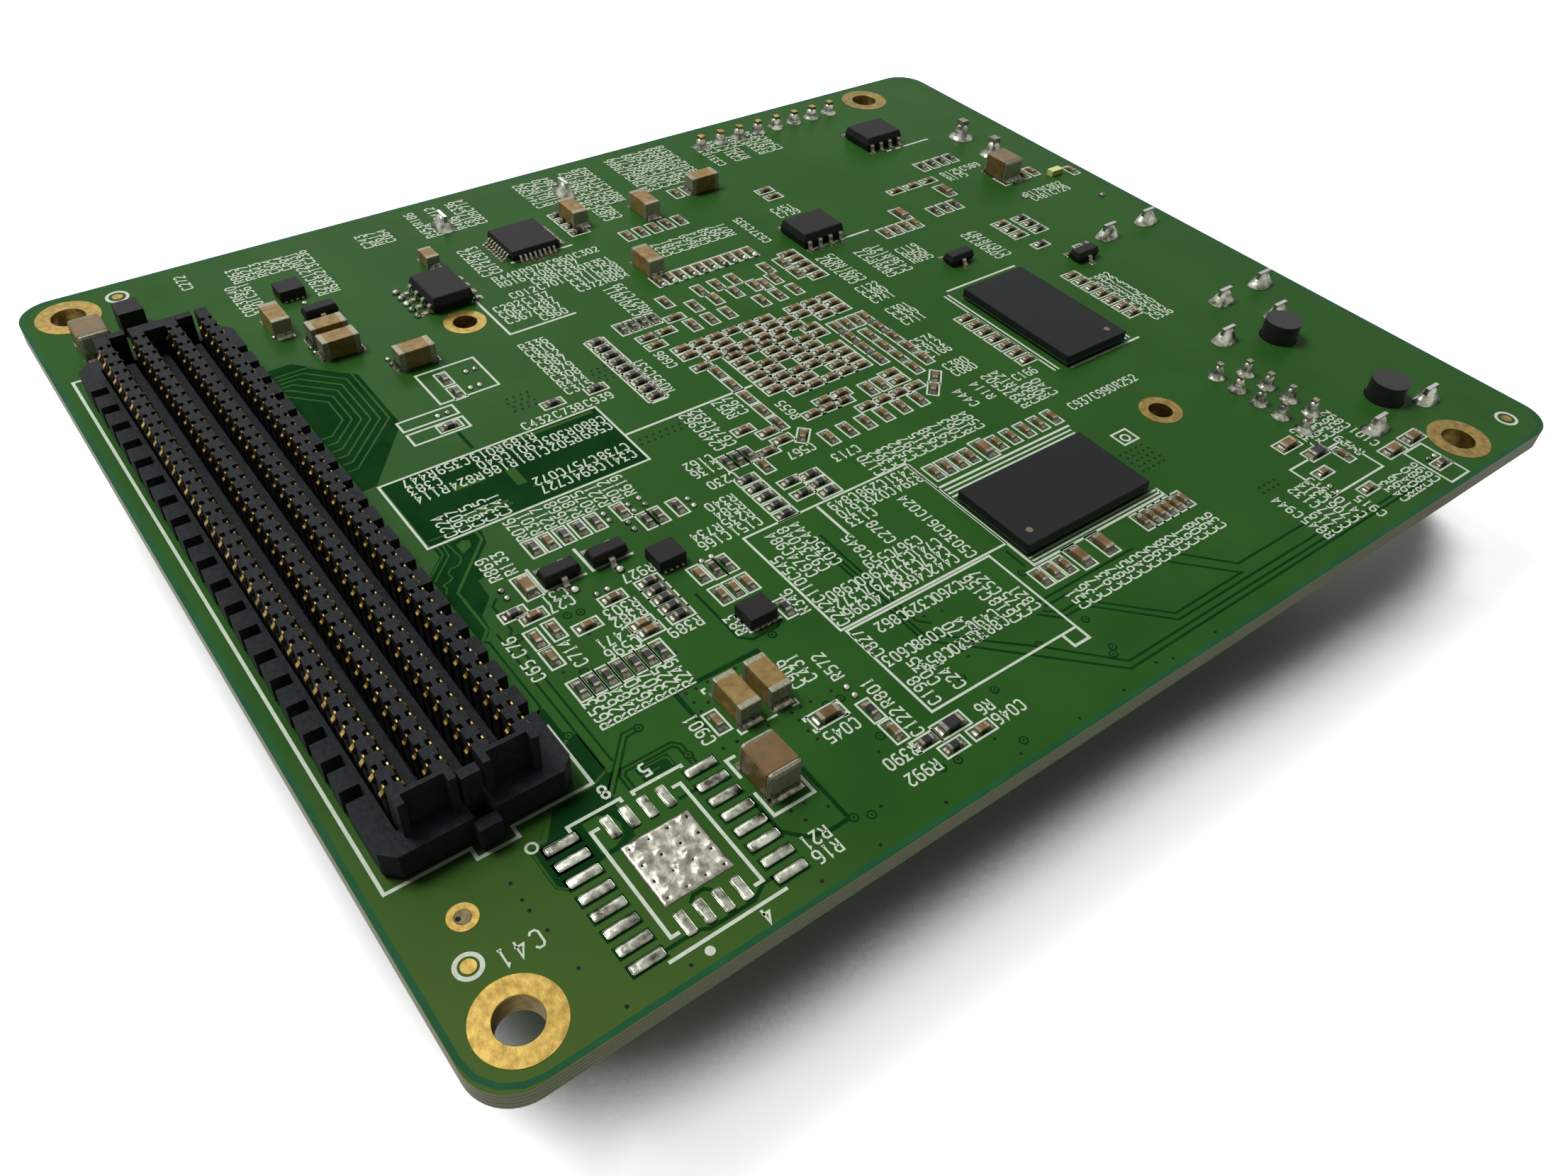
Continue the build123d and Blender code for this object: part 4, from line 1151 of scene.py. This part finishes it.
for corners in frames:
    strip(bm, rectangle(*corners), print_line * 0.85, 0, ink, closed=True)
rings = [(3.0, 7.7, 0.6, 0.87), (98.2, 2.8, 0.72, 0.98), (8.0, 82.3, 0.72, 0.98)]
rings += [(9.27, 12.23, 0.26, 0.42), (67.9, 19.35, 0.3, 0.48)]
for x, y, inner, outer in rings:
    washer(bm, x, y, inner, outer, ink, 28)
disc(bm, 13.8, 1.1, 0.3, 0, ink, 20)
for number, x, y in (("4", 17.8, 1.5), ("5", 17.7, 13.7), ("8", 14.85, 13.7)):
    write(bm, number, x, y, 180, height=0.92, line=0.17)
piece("print_outlines", bm, (silk,))

# %% [markdown]
# A box of print round a chip part keeps its neighbours off. Side by side, the boxes share their
# lines. The designators of a group stand in a row above or beside it, all turned one way. A list
# gives each row's first word and its steps, and wider fields of words fill the crowded places
# round the processor. A word of a field is left out where a part or another word already is.

# %% Boxes round the chip parts
box_line = 0.15
taken = []


def take(places, margin):
    """Note the rectangle round some places as taken, with a margin."""
    xs, ys = [p.x for p in places], [p.y for p in places]
    taken.append((min(xs) - margin, min(ys) - margin, max(xs) + margin, max(ys) + margin))


bm = bmesh.new()
for x, y, turn, length, width, height in capacitor_boxes + resistor_boxes:
    half_x, half_y = length / 2 + box_end, width / 2 + box_side
    corners = [Vector((x, y)) + swung(*c, turn) for c in rectangle(-half_x, -half_y, half_x, half_y)]
    strip(bm, corners, box_line, 0, ink, closed=True)
    take(corners, 0)
for node in ("bulk_capacitors", "small_transistors", "eight_lead_chips", "square_chip", "leadless_chips"):
    for points in loose_shapes(node):
        take([(p - spot(0, 0)) / mm for p in points], 0.7)
for node in ("memory_chip_near", "memory_chip_far", "array_socket_housing"):
    take([(corner - spot(0, 0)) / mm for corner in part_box(node)], 0.8)
piece("print_boxes", bm, (silk,))
print("places taken:", len(taken))

# %% Designators
touch = 0.02
bm = bmesh.new()


def word_box(x, y, turn, count):
    """The rectangle that a word of some letters covers."""
    far = Vector((x, y)) + swung(count * letter_pitch, letter_height, turn)
    return min(x, far.x), min(y, far.y), max(x, far.x), max(y, far.y)


def is_free(box):
    """True if a rectangle is on the board, clear of its edges and of every taken one."""
    x0, y0, x1, y1 = box
    if x0 < 1 or y0 < 0.5 or x1 > board_length - 1 or y1 > board_width - 0.8:
        return False
    return not any(
        x0 < t[2] - touch and x1 > t[0] + touch and y0 < t[3] - touch and y1 > t[1] + touch
        for t in taken
    )


def designate(letter, x, y, turn, digits=3, always=False):
    """Write one designator, unless its place is taken."""
    box = word_box(x, y, turn, digits + 1)
    if always or is_free(box):
        write(bm, designator(letter, digits), x, y, turn)
        taken.append(box)
        return 1
    return 0


def word_row(letter, x, y, turn, count, dx=0.0, dy=0.0, digits=3):
    """Write a row of designators, all of them."""
    for i in range(count):
        designate(letter, x + i * dx, y + i * dy, turn, digits, always=True)


print("words may touch by", touch, "mm")

# %% Words placed one by one
word_row("R", 17.95, 17.3, 90, 7, dx=1.02)
write(bm, "C41", 6.95, 7.6, 180, height=1.1, pitch=0.98)
for letter, x, y, turn, count, dx, dy, digits in (
    ("C", 22.4, 12.7, 90, 1, 0, 0, 3), ("C", 29.8, 13.2, 90, 2, 1.0, 0, 3),
    ("R", 32.35, 12.3, 90, 1, 0, 0, 3), ("R", 33.55, 8.7, 90, 1, 0, 0, 3),
    ("C", 33.55, 5.8, 90, 1, 0, 0, 3), ("C", 30.5, 9.25, 180, 1, 0, 0, 3),
    ("R", 32.2, 5.5, 180, 1, 0, 0, 3), ("R", 32.5, 3.85, 180, 1, 0, 0, 3),
    ("R", 38.6, 5.5, 180, 1, 0, 0, 1), ("C", 40.3, 4.3, 180, 1, 0, 0, 3),
    ("R", 23.8, 3.95, 180, 2, 0, -1.15, 2), ("R", 22.1, 35.4, 90, 9, 1.13, 0, 3),
    ("R", 18.5, 32.7, 90, 2, 1.2, 0, 3), ("C", 16.4, 23.1, 90, 2, 0, 2.5, 2),
    ("C", 19.3, 22.7, 90, 1, 0, 0, 3), ("R", 29.6, 19.1, 90, 1, 0, 0, 2),
    ("R", 34.3, 18.3, 90, 1, 0, 0, 3), ("C", 23.0, 22.9, 180, 2, 0, 1.1, 3),
    ("R", 24.9, 25.1, 180, 2, 0, 1.0, 3), ("C", 21.4, 28.7, 180, 2, 0, 0.95, 2),
    ("R", 27.5, 22.2, 180, 1, 0, 0, 3), ("R", 27.7, 28.4, 180, 1, 0, 0, 3),
    ("C", 51.0, 7.6, 90, 15, 1.08, 0, 2),
):
    word_row(letter, x, y, turn, count, dx, dy, digits)
for x, y, count in (
    (46.3, 17.0, 4), (46.3, 18.0, 4), (46.4, 19.0, 4), (45.4, 20.0, 2), (44.6, 14.75, 3),
    (40.4, 12.1, 2), (44.7, 11.3, 1), (44.8, 10.4, 3),
):
    word_row("C", x, y, 180, count, dx=-2.62)
for x, y, count in (
    (35.9, 12.4, 1), (36.2, 7.1, 1), (37.3, 8.4, 1), (38.5, 7.2, 1), (41.5, 9.5, 1),
    (42.5, 9.5, 1), (45.9, 9.4, 1), (46.9, 9.4, 1), (47.9, 9.5, 1), (45.7, 12.2, 1),
    (46.7, 12.2, 1), (35.8, 15.9, 3), (47.9, 16.0, 3), (41.5, 20.3, 1), (44.0, 20.5, 1),
    (37.0, 20.9, 2), (38.1, 20.9, 2), (39.2, 20.9, 2),
):
    word_row("C", x, y, 90, count, dy=2.72)
for i in range(8):
    designate("CR"[i % 2], mid_x - 2.9 + 1.95 * i, mid_y - 12.2, 90)
print("places taken, with the words:", len(taken))

# %% Fields of words
fields = [
    (15.9, 42.6, 33.8, 46.1, 180), (16.1, 38.5, 24.0, 42.4, 90), (25.0, 38.6, 33.5, 41.0, 180),
    (33.2, 48.9, 36.2, 58.0, 0), (34.2, 59.6, 40.0, 64.2, 0), (30.6, 50.8, 33.0, 55.9, 0),
    (40.0, 44.8, 43.6, 52.0, 90), (44.0, 56.0, 46.4, 62.2, 90), (36.5, 62.0, 49.0, 70.0, 0),
    (34.9, 77.8, 42.0, 84.0, 90), (28.0, 46.6, 38.2, 49.4, 0), (16.0, 73.5, 25.0, 84.2, 90),
    (10.8, 80.4, 15.0, 83.0, 90), (36.0, 66.0, 38.8, 76.0, 90), (61.0, 41.8, 68.4, 50.2, 0),
    (68.0, 49.0, 71.2, 55.0, 90), (62.2, 33.4, 66.0, 41.0, 0), (63.0, 50.0, 67.2, 55.5, 90),
    (66.2, 30.0, 68.9, 41.0, 0), (48.8, 60.4, 63.8, 68.0, 90), (46.6, 72.0, 56.0, 84.0, 90),
    (57.5, 75.0, 66.0, 84.0, 90), (66.2, 63.5, 71.0, 65.6, 0), (64.4, 24.4, 76.0, 25.6, 0),
    (84.3, 30.0, 86.6, 43.0, 0), (71.4, 2.2, 77.0, 8.2, 90), (77.2, 1.4, 86.0, 12.4, 90),
    (84.8, 0.8, 89.4, 5.8, 90), (46.5, 26.9, 70.0, 33.0, 90), (35.0, 20.0, 50.3, 26.4, 180),
    (29.6, 20.0, 36.9, 31.4, 180), (35.1, 32.0, 38.2, 36.2, 180), (35.2, 27.0, 38.5, 33.4, 180),
    (42.0, 26.8, 48.6, 33.0, 180), (39.0, 33.4, 48.0, 42.0, 90), (36.6, 36.8, 40.6, 41.6, 0),
    (67.5, 76.0, 77.0, 83.0, 90), (71.8, 48.5, 75.6, 53.5, 0), (79.4, 46.0, 82.0, 53.0, 90),
    (84.0, 60.5, 92.0, 63.0, 0), (74.0, 58.5, 79.0, 60.5, 0), (91.5, 52.5, 98.0, 55.6, 0),
    (29.2, 79.0, 32.4, 82.0, 90), (59.5, 35.0, 62.5, 42.0, 90),
]
long_step, short_step = 4.15 * letter_pitch, letter_height + 0.2
share_printed = 0.9
words = 0
for x0, y0, x1, y1, turn in fields:
    along, across = (y1 - y0, x1 - x0) if turn == 90 else (x1 - x0, y1 - y0)
    for i in range(int(along / long_step + 0.2)):
        for j in range(int(across / short_step + 0.1)):
            u, v = i * long_step, j * short_step
            starts = {0: (x0 + u, y0 + v), 90: (x0 + v + letter_height, y0 + u), 180: (x1 - u, y1 - v)}
            if numbers.random() < share_printed:
                words += designate(numbers.choice("CCR"), *starts[turn], turn)
piece("print_designators", bm, (silk,))
print("words in fields:", words)

# %% [markdown]
# ## Bare pads
#
# One chip of the board isn't fitted, so its pads are seen: two rows of long ones at the sides, four
# at each end, and a square one in the middle. Molten solder pulls itself into a pillow on each pad,
# so they are bricks with well rounded edges. The middle pad is a sheet of lumps between small
# vents. Sculpting it would be free-hand work, so it is a grid whose height is a sum of soft humps,
# with a skirt down to the board, and small dark discs in the vents are painted shade, where the
# holes lie in shadow.

# %% Pads of the unfitted chip
# Painted reflections: dark and pale patches in the solder's colour stand for the room it mirrors
solder_painted_reflections = grained("solder_with_painted_reflections", (62, 62, 52), (188, 190, 174), 0.9, 0.26, metallic=1.0, bump=0.25)
solder_dull = grained("dull_solder", (108, 106, 94), (164, 162, 150), 0.5, 0.34, metallic=0.95, bump=0.3)
pillow_height, half_wide = 0.16, 0.32
long_pad, end_pad = 2.1, 1.65
pad_columns = (9.68, 19.3)
pad_rows = [2.5 + 1.281 * i for i in range(8)]


def pillow(bm, x0, y0, x1, y1):
    """A pad of solder between two corners in millimetres, rounded like a pillow."""
    half = (x1 - x0) / 2, (y1 - y0) / 2
    place = Matrix.Translation(spot((x0 + x1) / 2, (y0 + y1) / 2))
    edge = min(*half, pillow_height) * 0.8
    brick(bm, (-half[0], -half[1], 0), (*half, pillow_height), edge, 0, 3, place)


bm = bmesh.new()
for x in pad_columns:
    for y in pad_rows:
        pillow(bm, x, y - half_wide, x + long_pad, y + half_wide)
for x in (13.64, 14.9, 16.15, 17.42):
    for y in (2.4, 10.05):
        pillow(bm, x - half_wide, y, x + half_wide, y + end_pad)
piece("bare_pads", bm, (solder_painted_reflections,), smooth=True)

# %% Middle pad with its lumps
pad_corner, pad_length, cells = (13.28, 4.68), 4.7, 44
pad_base, hump_spread, vent_depth, vent_spread = 0.1, 0.09, 0.09, 0.02
humps = random.Random(12)
lumps = []
for i in range(4):
    for j in range(4):
        wander = humps.uniform(-0.2, 0.2), humps.uniform(-0.2, 0.2)
        lumps.append((0.8 + 1.16 * i + wander[0], 0.8 + 1.16 * j + wander[1], humps.uniform(0.06, 0.2)))
vents = [(0.46 + 1.27 * i, 0.42 + 1.28 * j) for i in range(4) for j in range(4)]


def pad_height_at(u, v):
    """The height of the solder at a place on the middle pad, in millimetres."""
    swell = sum(h * math.exp(-((u - a) ** 2 + (v - b) ** 2) / hump_spread) for a, b, h in lumps)
    sunk = sum(vent_depth * math.exp(-((u - a) ** 2 + (v - b) ** 2) / vent_spread) for a, b in vents)
    from_edge = min(u, v, pad_length - u, pad_length - v)
    return max(0.02, (pad_base + swell - sunk) * min(1, 0.35 + from_edge / 0.2))


bm = bmesh.new()
step = pad_length / cells
grid = []
for i in range(cells + 1):
    column = []
    for j in range(cells + 1):
        u, v = i * step, j * step
        place = spot(pad_corner[0] + u, pad_corner[1] + v, pad_height_at(u, v))
        column.append(bm.verts.new(place))
    grid.append(column)
for i in range(cells):
    for j in range(cells):
        skin(bm, (grid[i][j], grid[i + 1][j], grid[i + 1][j + 1], grid[i][j + 1]), 0)
border = grid[0][:-1] + [column[-1] for column in grid[:-1]]
border += list(reversed(grid[-1][1:])) + [column[0] for column in reversed(grid[1:])]
foot = [bm.verts.new((v.co.x, v.co.y, surface)) for v in border]
tube(bm, [border, foot], 0)
skin(bm, foot, 0)
# Painted shade: a dark disc in each vent, where the hole lies in shadow
for u, v in vents:
    z = pad_height_at(u, v)
    disc(bm, pad_corner[0] + u, pad_corner[1] + v, 0.13, z - 0.01, z + 0.03, 10, paint=1)
piece("middle_pad", bm, (solder_dull, painted_hole_shade), smooth=True)

# %% [markdown]
# ## Solder round the tails
#
# Everything that hangs underneath is held by tails that come up through the board, and each one
# ends in a cone of solder on a round pad. A pressed ball would look like a blob: it is the hollow
# side that reads as solder. So the cones are turned from a hollow profile, and the tails' own
# solids stand out of their tops. The broad tabs of the shields get longer heaps. Pads with nothing
# on them carry a small shiny drop.

# %% Cones, heaps and drops
def tails_of(node):
    """The places of a node's solids that rise through the board, in millimetres."""
    found = set()
    for points in loose_shapes(node):
        middle = (sum(points, Vector()) / len(points) - spot(0, 0)) / mm
        found.add((round(middle.x, 2), round(middle.y, 2)))
    return sorted(found)


def cone(bm, x, y, ring, neck, height, sides):
    """Solder that rises from a ring in a hollow curve to a neck."""
    profile = [(0, 0), (ring, 0), (ring, 0.05), (ring * 0.7, 0.14), (neck + 0.12, height * 0.45)]
    profile += [(neck + 0.03, height * 0.8), (neck * 0.8, height), (0, height * 1.04)]
    turned(bm, x, y, profile, sides)


heap_length, heap_width, heap_height, heap_sides, squareness = 2.9, 1.9, 1.25, 16, 0.7
heap_levels = [(1.0, 0.0), (1.0, 0.04), (0.72, 0.3), (0.5, 0.72), (0.3, 1.0)]


def squared(share):
    """A sine or cosine pushed outwards, so that a circle turns into a rounded box."""
    return math.copysign(abs(share) ** squareness, share)


def heap(bm, x, y, turn):
    """A long heap of solder round a tab."""
    rings = []
    for share, level in heap_levels:
        corners = []
        for i in range(heap_sides):
            angle = math.tau * i / heap_sides
            u = share * heap_length / 2 * squared(math.cos(angle))
            v = share * heap_width / 2 * squared(math.sin(angle))
            place = Vector((x, y)) + swung(u, v, turn)
            corners.append(bm.verts.new(spot(place.x, place.y, level * heap_height)))
        rings.append(corners)
    solid(bm, rings, 0)


shield_tabs = [(x, y) for x in (87.0, 94.7) for y in (8.375, 24.225)]
shield_tabs += [(x, y) for x in (92.3, 98.2) for y in (28.725, 43.275)]
usb_tabs = [(37.125, 79.1), (50.375, 79.1)]
bm = bmesh.new()
for node, ring, neck, height, sides in (
    ("network_jack_pins", 0.82, 0.36, 1.15, 16),
    ("edge_header_pins", 0.92, 0.48, 1.0, 16),
    ("power_header_pins", 1.35, 0.62, 1.5, 20),
):
    for x, y in tails_of(node):
        cone(bm, x, y, ring, neck, height, sides)
for tabs, turn in ((shield_tabs, 0), (usb_tabs, 90)):
    for x, y in tabs:
        heap(bm, x, y, turn)
piece("tail_solder", bm, (solder_painted_reflections,), smooth=True)

# %% Empty pads
empty_pairs = [
    (17.75, 31.2, 90), (27.7, 34.2, 90), (29.75, 34.1, 90), (30.85, 34.3, 90), (28.7, 32.4, 90),
    (33.8, 32.2, 90), (23.4, 27.75, 0), (31.2, 26.45, 0), (31.75, 11.0, 90), (23.5, 51.9, 0),
    (28.15, 56.2, 0), (27.4, 53.95, 0), (87.45, 3.4, 0), (76.9, 5.5, 90), (20.9, 72.6, 90),
    (17.2, 69.2, 0), (18.7, 65.7, 90), (23.2, 60.8, 90),
]
drop = [(0, 0), (0.25, 0), (0.26, 0.05), (0.2, 0.15), (0.1, 0.2), (0, 0.21)]
wide_drop = [(r * 1.4, z * 1.5) for r, z in drop]
row_drops = [(49.2 + 1.15 * i, 59.0) for i in range(10)] + [(28.2, 66.0 + 1.1 * i) for i in range(5)]
row_drops += [(91.0, 53.8), (98.6, 49.7), (21.95, 28.95), (25.6, 28.95)]
bm = bmesh.new()
for x, y, turn in empty_pairs:
    for side in (-0.42, 0.42):
        step_out = swung(side, 0, turn)
        turned(bm, x + step_out.x, y + step_out.y, drop, 12)
for x, y in row_drops:
    turned(bm, x, y, wide_drop, 14)
piece("solder_drops", bm, (solder_painted_reflections,), smooth=True)

# %% [markdown]
# ## Copper under the mask
#
# Where the copper is etched away, the mask lies on bare laminate and looks darker and cooler. Traces
# are copper lines that cross such a dark area, or copper with a dark gap on both sides. The copper
# also stops short of the board's edge, so a band of cooler green runs all the way round. A painted
# map could hold all this, but thin sheets keep their edges sharp from close by. They are thinner
# than the print, so the print still lies on top: dark ones first, then copper ones.

# %% Dark areas beside the near end
gap_sheet, copper_sheet = 0.006, 0.011
bm = bmesh.new()
dark_areas = [
    [(14.3, 14.3), (15.6, 14.3), (15.6, 17.9), (14.95, 18.6), (14.95, 20.9), (14.3, 20.9)],
    [(10.2, 12.1), (14.9, 12.1), (14.9, 13.1), (15.9, 14.3), (11.6, 14.3), (11.6, 13.95)],
    [(9.0, 12.1), (9.0, 9.15), (9.55, 8.6), (9.9, 8.6), (9.9, 9.25), (12.2, 9.25), (12.2, 12.1)],
    [(12.2, 9.3), (13.4, 9.3), (14.5, 9.6), (14.75, 10.4), (14.7, 12.1), (12.2, 12.1)],
    [(17.0, 12.5), (19.3, 12.5), (19.3, 13.6), (17.0, 13.6)],
    [
        (14.4, 28.2), (15.0, 28.3), (15.5, 28.9), (15.6, 30.2), (16.9, 31.6), (17.0, 33.4), (17.6, 33.6),
        (17.6, 35.0), (19.3, 36.6), (19.6, 38.0), (15.9, 38.0), (15.9, 37.0), (14.4, 35.6),
    ],
    [(15.8, 38.4), (34.0, 38.4), (34.0, 46.2), (15.8, 46.2)],
    [(14.4, 46.5), (15.6, 46.6), (20.3, 52.6), (20.3, 60.6), (16.4, 64.8), (14.4, 64.8)],
]
for outline in dark_areas:
    flat(bm, outline, 0, gap_sheet)
for x in pad_columns:
    for y in pad_rows:
        flat(bm, rectangle(x - 0.13, y - 0.46, x + long_pad + 0.13, y + 0.46), 0, gap_sheet)
print("dark areas:", len(dark_areas))

# %% Dark lines
slanting_trace = [(14.9, 12.9), (17.9, 16.2), (18.9, 16.2)]
hook_trace = [(16.15, 12.2), (16.15, 13.6), (16.45, 13.95), (19.9, 13.95), (20.25, 13.6), (20.25, 12.0)]
dark_lines = [
    (0.16, [(15.6, 14.7), (15.6, 28.2)]),
    (0.16, [(16.28, 14.9), (16.28, 27.6), (16.6, 28.0), (16.6, 30.6), (17.2, 31.2)]),
    (0.16, [(14.4, 20.7), (14.85, 21.1), (14.85, 27.8), (14.4, 28.2)]),
    (0.52, slanting_trace),
    (0.5, hook_trace),
    (0.36, [(22.35, 13.5), (22.35, 17.3), (28.9, 17.3), (28.9, 16.9)]),
    (0.3, [(21.5, 8.0), (21.5, 5.0), (22.6, 3.8), (23.9, 3.4), (25.4, 3.4), (25.4, 8.0)]),
    (0.22, [(28.6, 24.0), (28.6, 19.0), (29.3, 18.3), (31.4, 18.3), (32.0, 18.7)]),
    (0.25, [(11.9, 2.5), (14.0, 2.5), (14.6, 2.2), (17.6, 2.2), (18.6, 2.8), (19.3, 2.8)]),
    (0.25, [(14.6, 4.1), (15.0, 4.45), (15.7, 4.45), (16.05, 4.1)]),
    (0.25, [(18.0, 10.3), (19.3, 10.3)]),
    (0.3, [(23.5, 46.8), (23.5, 49.2)]),
    (0.2, [(38.75, 24.0), (38.75, 11.75), (40.9, 9.6), (48.6, 1.85), (84.0, 1.95)]),
    (0.2, [(39.15, 24.0), (39.15, 12.3), (41.9, 9.6), (45.0, 6.75), (49.05, 2.4), (84.0, 2.4)]),
    (0.2, [(39.6, 24.0), (39.6, 13.4), (40.35, 12.6)]),
    (0.2, [(47.0, 9.1), (48.3, 7.8), (50.5, 7.8), (55.0, 3.05), (73.0, 3.0)]),
    (0.2, [(47.6, 9.1), (48.6, 8.3), (50.8, 8.3), (51.8, 7.2), (55.3, 3.6), (62.9, 3.6)]),
    (0.2, [(47.9, 9.9), (58.0, 9.9)]),
    (0.2, [(48.0, 9.3), (50.5, 9.3)]),
    (0.2, [(48.5, 10.0), (48.5, 15.3)]),
    (0.2, [(49.85, 13.0), (49.85, 15.0)]),
    (0.2, [(58.4, 8.2), (62.6, 3.7)]),
    (0.2, [(60.5, 7.5), (63.3, 4.35), (71.5, 4.3)]),
]
for width, path in dark_lines:
    strip(bm, path, width, 0, gap_sheet)
band_inset, band_round, band_width = 0.22, 3.2, 0.34
round_corner = []
for angle in (0, 0.4, 0.8, 1.2, math.pi / 2):
    x, y = (band_inset + band_round * (1 - part) for part in (math.cos(angle), math.sin(angle)))
    round_corner.append((x, y))
edge_path = round_corner + [(board_length - x, y) for x, y in reversed(round_corner)]
edge_path += [(board_length - x, board_width - y) for x, y in round_corner]
edge_path += [(x, board_width - y) for x, y in reversed(round_corner)]
strip(bm, edge_path, band_width, 0, gap_sheet, closed=True, paint=1)
piece("etched_areas", bm, (bare, rim_green))

# %% Traces over the dark areas
winding_trace = [
    (14.6, 33.4), (14.9, 33.9), (14.8, 34.3), (15.3, 34.4), (15.7, 34.6), (15.6, 35.1),
    (15.9, 35.5), (16.5, 35.5), (16.9, 35.8), (17.1, 36.2), (17.0, 37.0), (16.9, 38.1),
]
copper_lines = [
    (0.2, slanting_trace),
    (0.14, [(9.12, 12.0), (9.12, 9.2), (9.62, 8.7)]),
    (0.2, [(9.9, 12.45), (11.35, 14.0), (14.3, 14.0), (15.5, 14.5)]),
    (0.14, hook_trace),
    (0.12, [(17.5, 13.4), (19.0, 13.4), (19.15, 13.2), (19.15, 12.6)]),
    (0.12, [(16.7, 12.9), (18.4, 12.9)]),
    (0.2, [(14.5, 17.6), (15.05, 18.1)]),
    (0.22, [(14.5, 28.1), (15.3, 28.9), (15.3, 33.1), (18.35, 36.2), (19.2, 37.1), (19.2, 38.1)]),
    (0.12, [(14.5, 35.5), (16.2, 37.1), (16.2, 38.1)]),
    (0.12, [(14.5, 34.9), (16.5, 36.8), (16.6, 38.1)]),
    (0.12, winding_trace),
    (0.3, [(18.5, 39.8), (22.8, 39.8)]),
    (0.5, [(20.0, 43.1), (22.6, 43.1)]),
    (0.16, [(16.0, 38.9), (18.6, 38.9), (19.8, 39.4), (23.0, 39.4)]),
    (0.16, [(25.0, 40.2), (33.6, 40.2)]),
    (0.3, [(24.0, 45.9), (33.6, 45.9)]),
]
for k in range(6):
    near, far, side = 49.2 + 0.95 * k, 63.6 - 0.55 * k, 19.9 - 0.62 * k
    path = [(14.5, near), (15.3, near), (side, near + side - 15.3)]
    path += [(side, far - 2.6), (side - 2.6, far), (14.5, far)]
    copper_lines.append((0.16, path))
bm = bmesh.new()
for width, path in copper_lines:
    strip(bm, path, width, 0, copper_sheet)
lobes = [
    [(12.3, 9.6), (13.2, 9.6), (14.0, 10.0), (14.3, 10.8), (14.1, 11.6), (13.4, 12.0), (12.4, 12.0)],
    [(17.4, 36.4), (18.3, 36.9), (18.4, 37.5), (18.0, 37.7), (17.4, 37.5)],
    [(24.2, 40.9), (25.0, 40.9), (25.0, 43.0), (24.2, 43.0)],
    [(15.68, 14.6), (16.05, 14.6), (16.05, 28.0), (15.68, 28.0)],
]
for outline in lobes:
    flat(bm, outline, 0, copper_sheet)
piece("copper_traces", bm, (covered,))
print("copper lines:", len(copper_lines))

# %% [markdown]
# A via is a tiny plated hole that takes a trace to another layer. Near the viewer it shows as a
# green button in a dark gap, with a dark disc in its middle that is painted shade for the open
# hole. Further off only that dark dot of painted shade is left of it, and under a chip they stand
# in small staggered fields.

# %% Vias
vias = [
    (18.95, 16.2), (15.1, 18.1), (25.65, 3.3), (26.65, 2.85), (30.65, 17.9), (30.95, 7.1), (29.8, 11.0),
    (30.85, 10.9), (33.7, 2.9), (32.45, 3.0), (20.3, 12.7), (38.2, 1.65), (39.65, 5.75), (45.05, 6.95),
    (49.5, 6.8), (48.65, 3.45), (49.1, 3.95), (49.15, 12.65), (40.25, 9.75), (38.55, 7.75),
    (20.3, 27.1), (21.2, 26.9), (16.6, 27.1), (18.6, 22.1),
]
tiny_holes = [
    (22.95, 16.85), (23.7, 16.85), (24.65, 16.9), (26.8, 16.85), (22.95, 15.95), (23.7, 15.45),
    (22.9, 15.1), (22.35, 11.9), (23.35, 11.85), (25.7, 11.75), (27.55, 11.75), (28.3, 11.8),
    (29.1, 11.8), (30.75, 11.75), (27.55, 11.0), (28.3, 11.0), (27.5, 10.0), (27.55, 9.15), (27.5, 3.0),
    (30.05, 6.2), (37.3, 1.0), (36.75, 2.8), (42.5, 0.85), (46.75, 0.85), (50.45, 1.25), (51.75, 0.85),
    (56.2, 0.8), (40.35, 13.4), (41.75, 13.1), (40.3, 8.9), (7.2, 10.9), (7.2, 9.6), (7.2, 8.8),
    (7.4, 7.2), (7.6, 4.3), (8.5, 1.0), (12.5, 1.0), (21.4, 1.0), (25.7, 0.95), (30.9, 0.95),
    (17.5, 22.8), (24.4, 20.2), (20.6, 24.8), (22.9, 5.8), (23.9, 5.8), (23.2, 4.8), (24.9, 4.8),
]
via_fields = [(65.8, 15.6, 5, 5), (28.5, 49.2, 4, 4), (36.3, 49.0, 3, 4), (71.8, 8.4, 4, 2)]
via_fields.append((34.6, 40.1, 8, 2))
for x0, y0, columns, rows in via_fields:
    for i in range(columns):
        tiny_holes += [(x0 + 0.62 * i + 0.2 * (j % 2), y0 + 0.6 * j) for j in range(rows)]
gap_radius, via_radius, drill_radius, tiny_radius = 0.34, 0.2, 0.1, 0.12
via_heights = (0.014, 0.016, 0.018)
bm = bmesh.new()
# Painted shade: the drill's disc and the tiny holes are dark discs for open holes in shadow
for x, y in vias:
    washer(bm, x, y, via_radius, gap_radius, via_heights[0], 16)
    disc(bm, x, y, via_radius, 0, via_heights[1], 16, paint=1)
    disc(bm, x, y, drill_radius, 0, via_heights[2], 12, paint=2)
for x, y in tiny_holes:
    disc(bm, x, y, tiny_radius, 0, via_heights[1], 10, paint=2)
piece("vias", bm, (bare, covered, painted_hole_shade))
print("vias:", len(vias), "tiny holes:", len(tiny_holes))
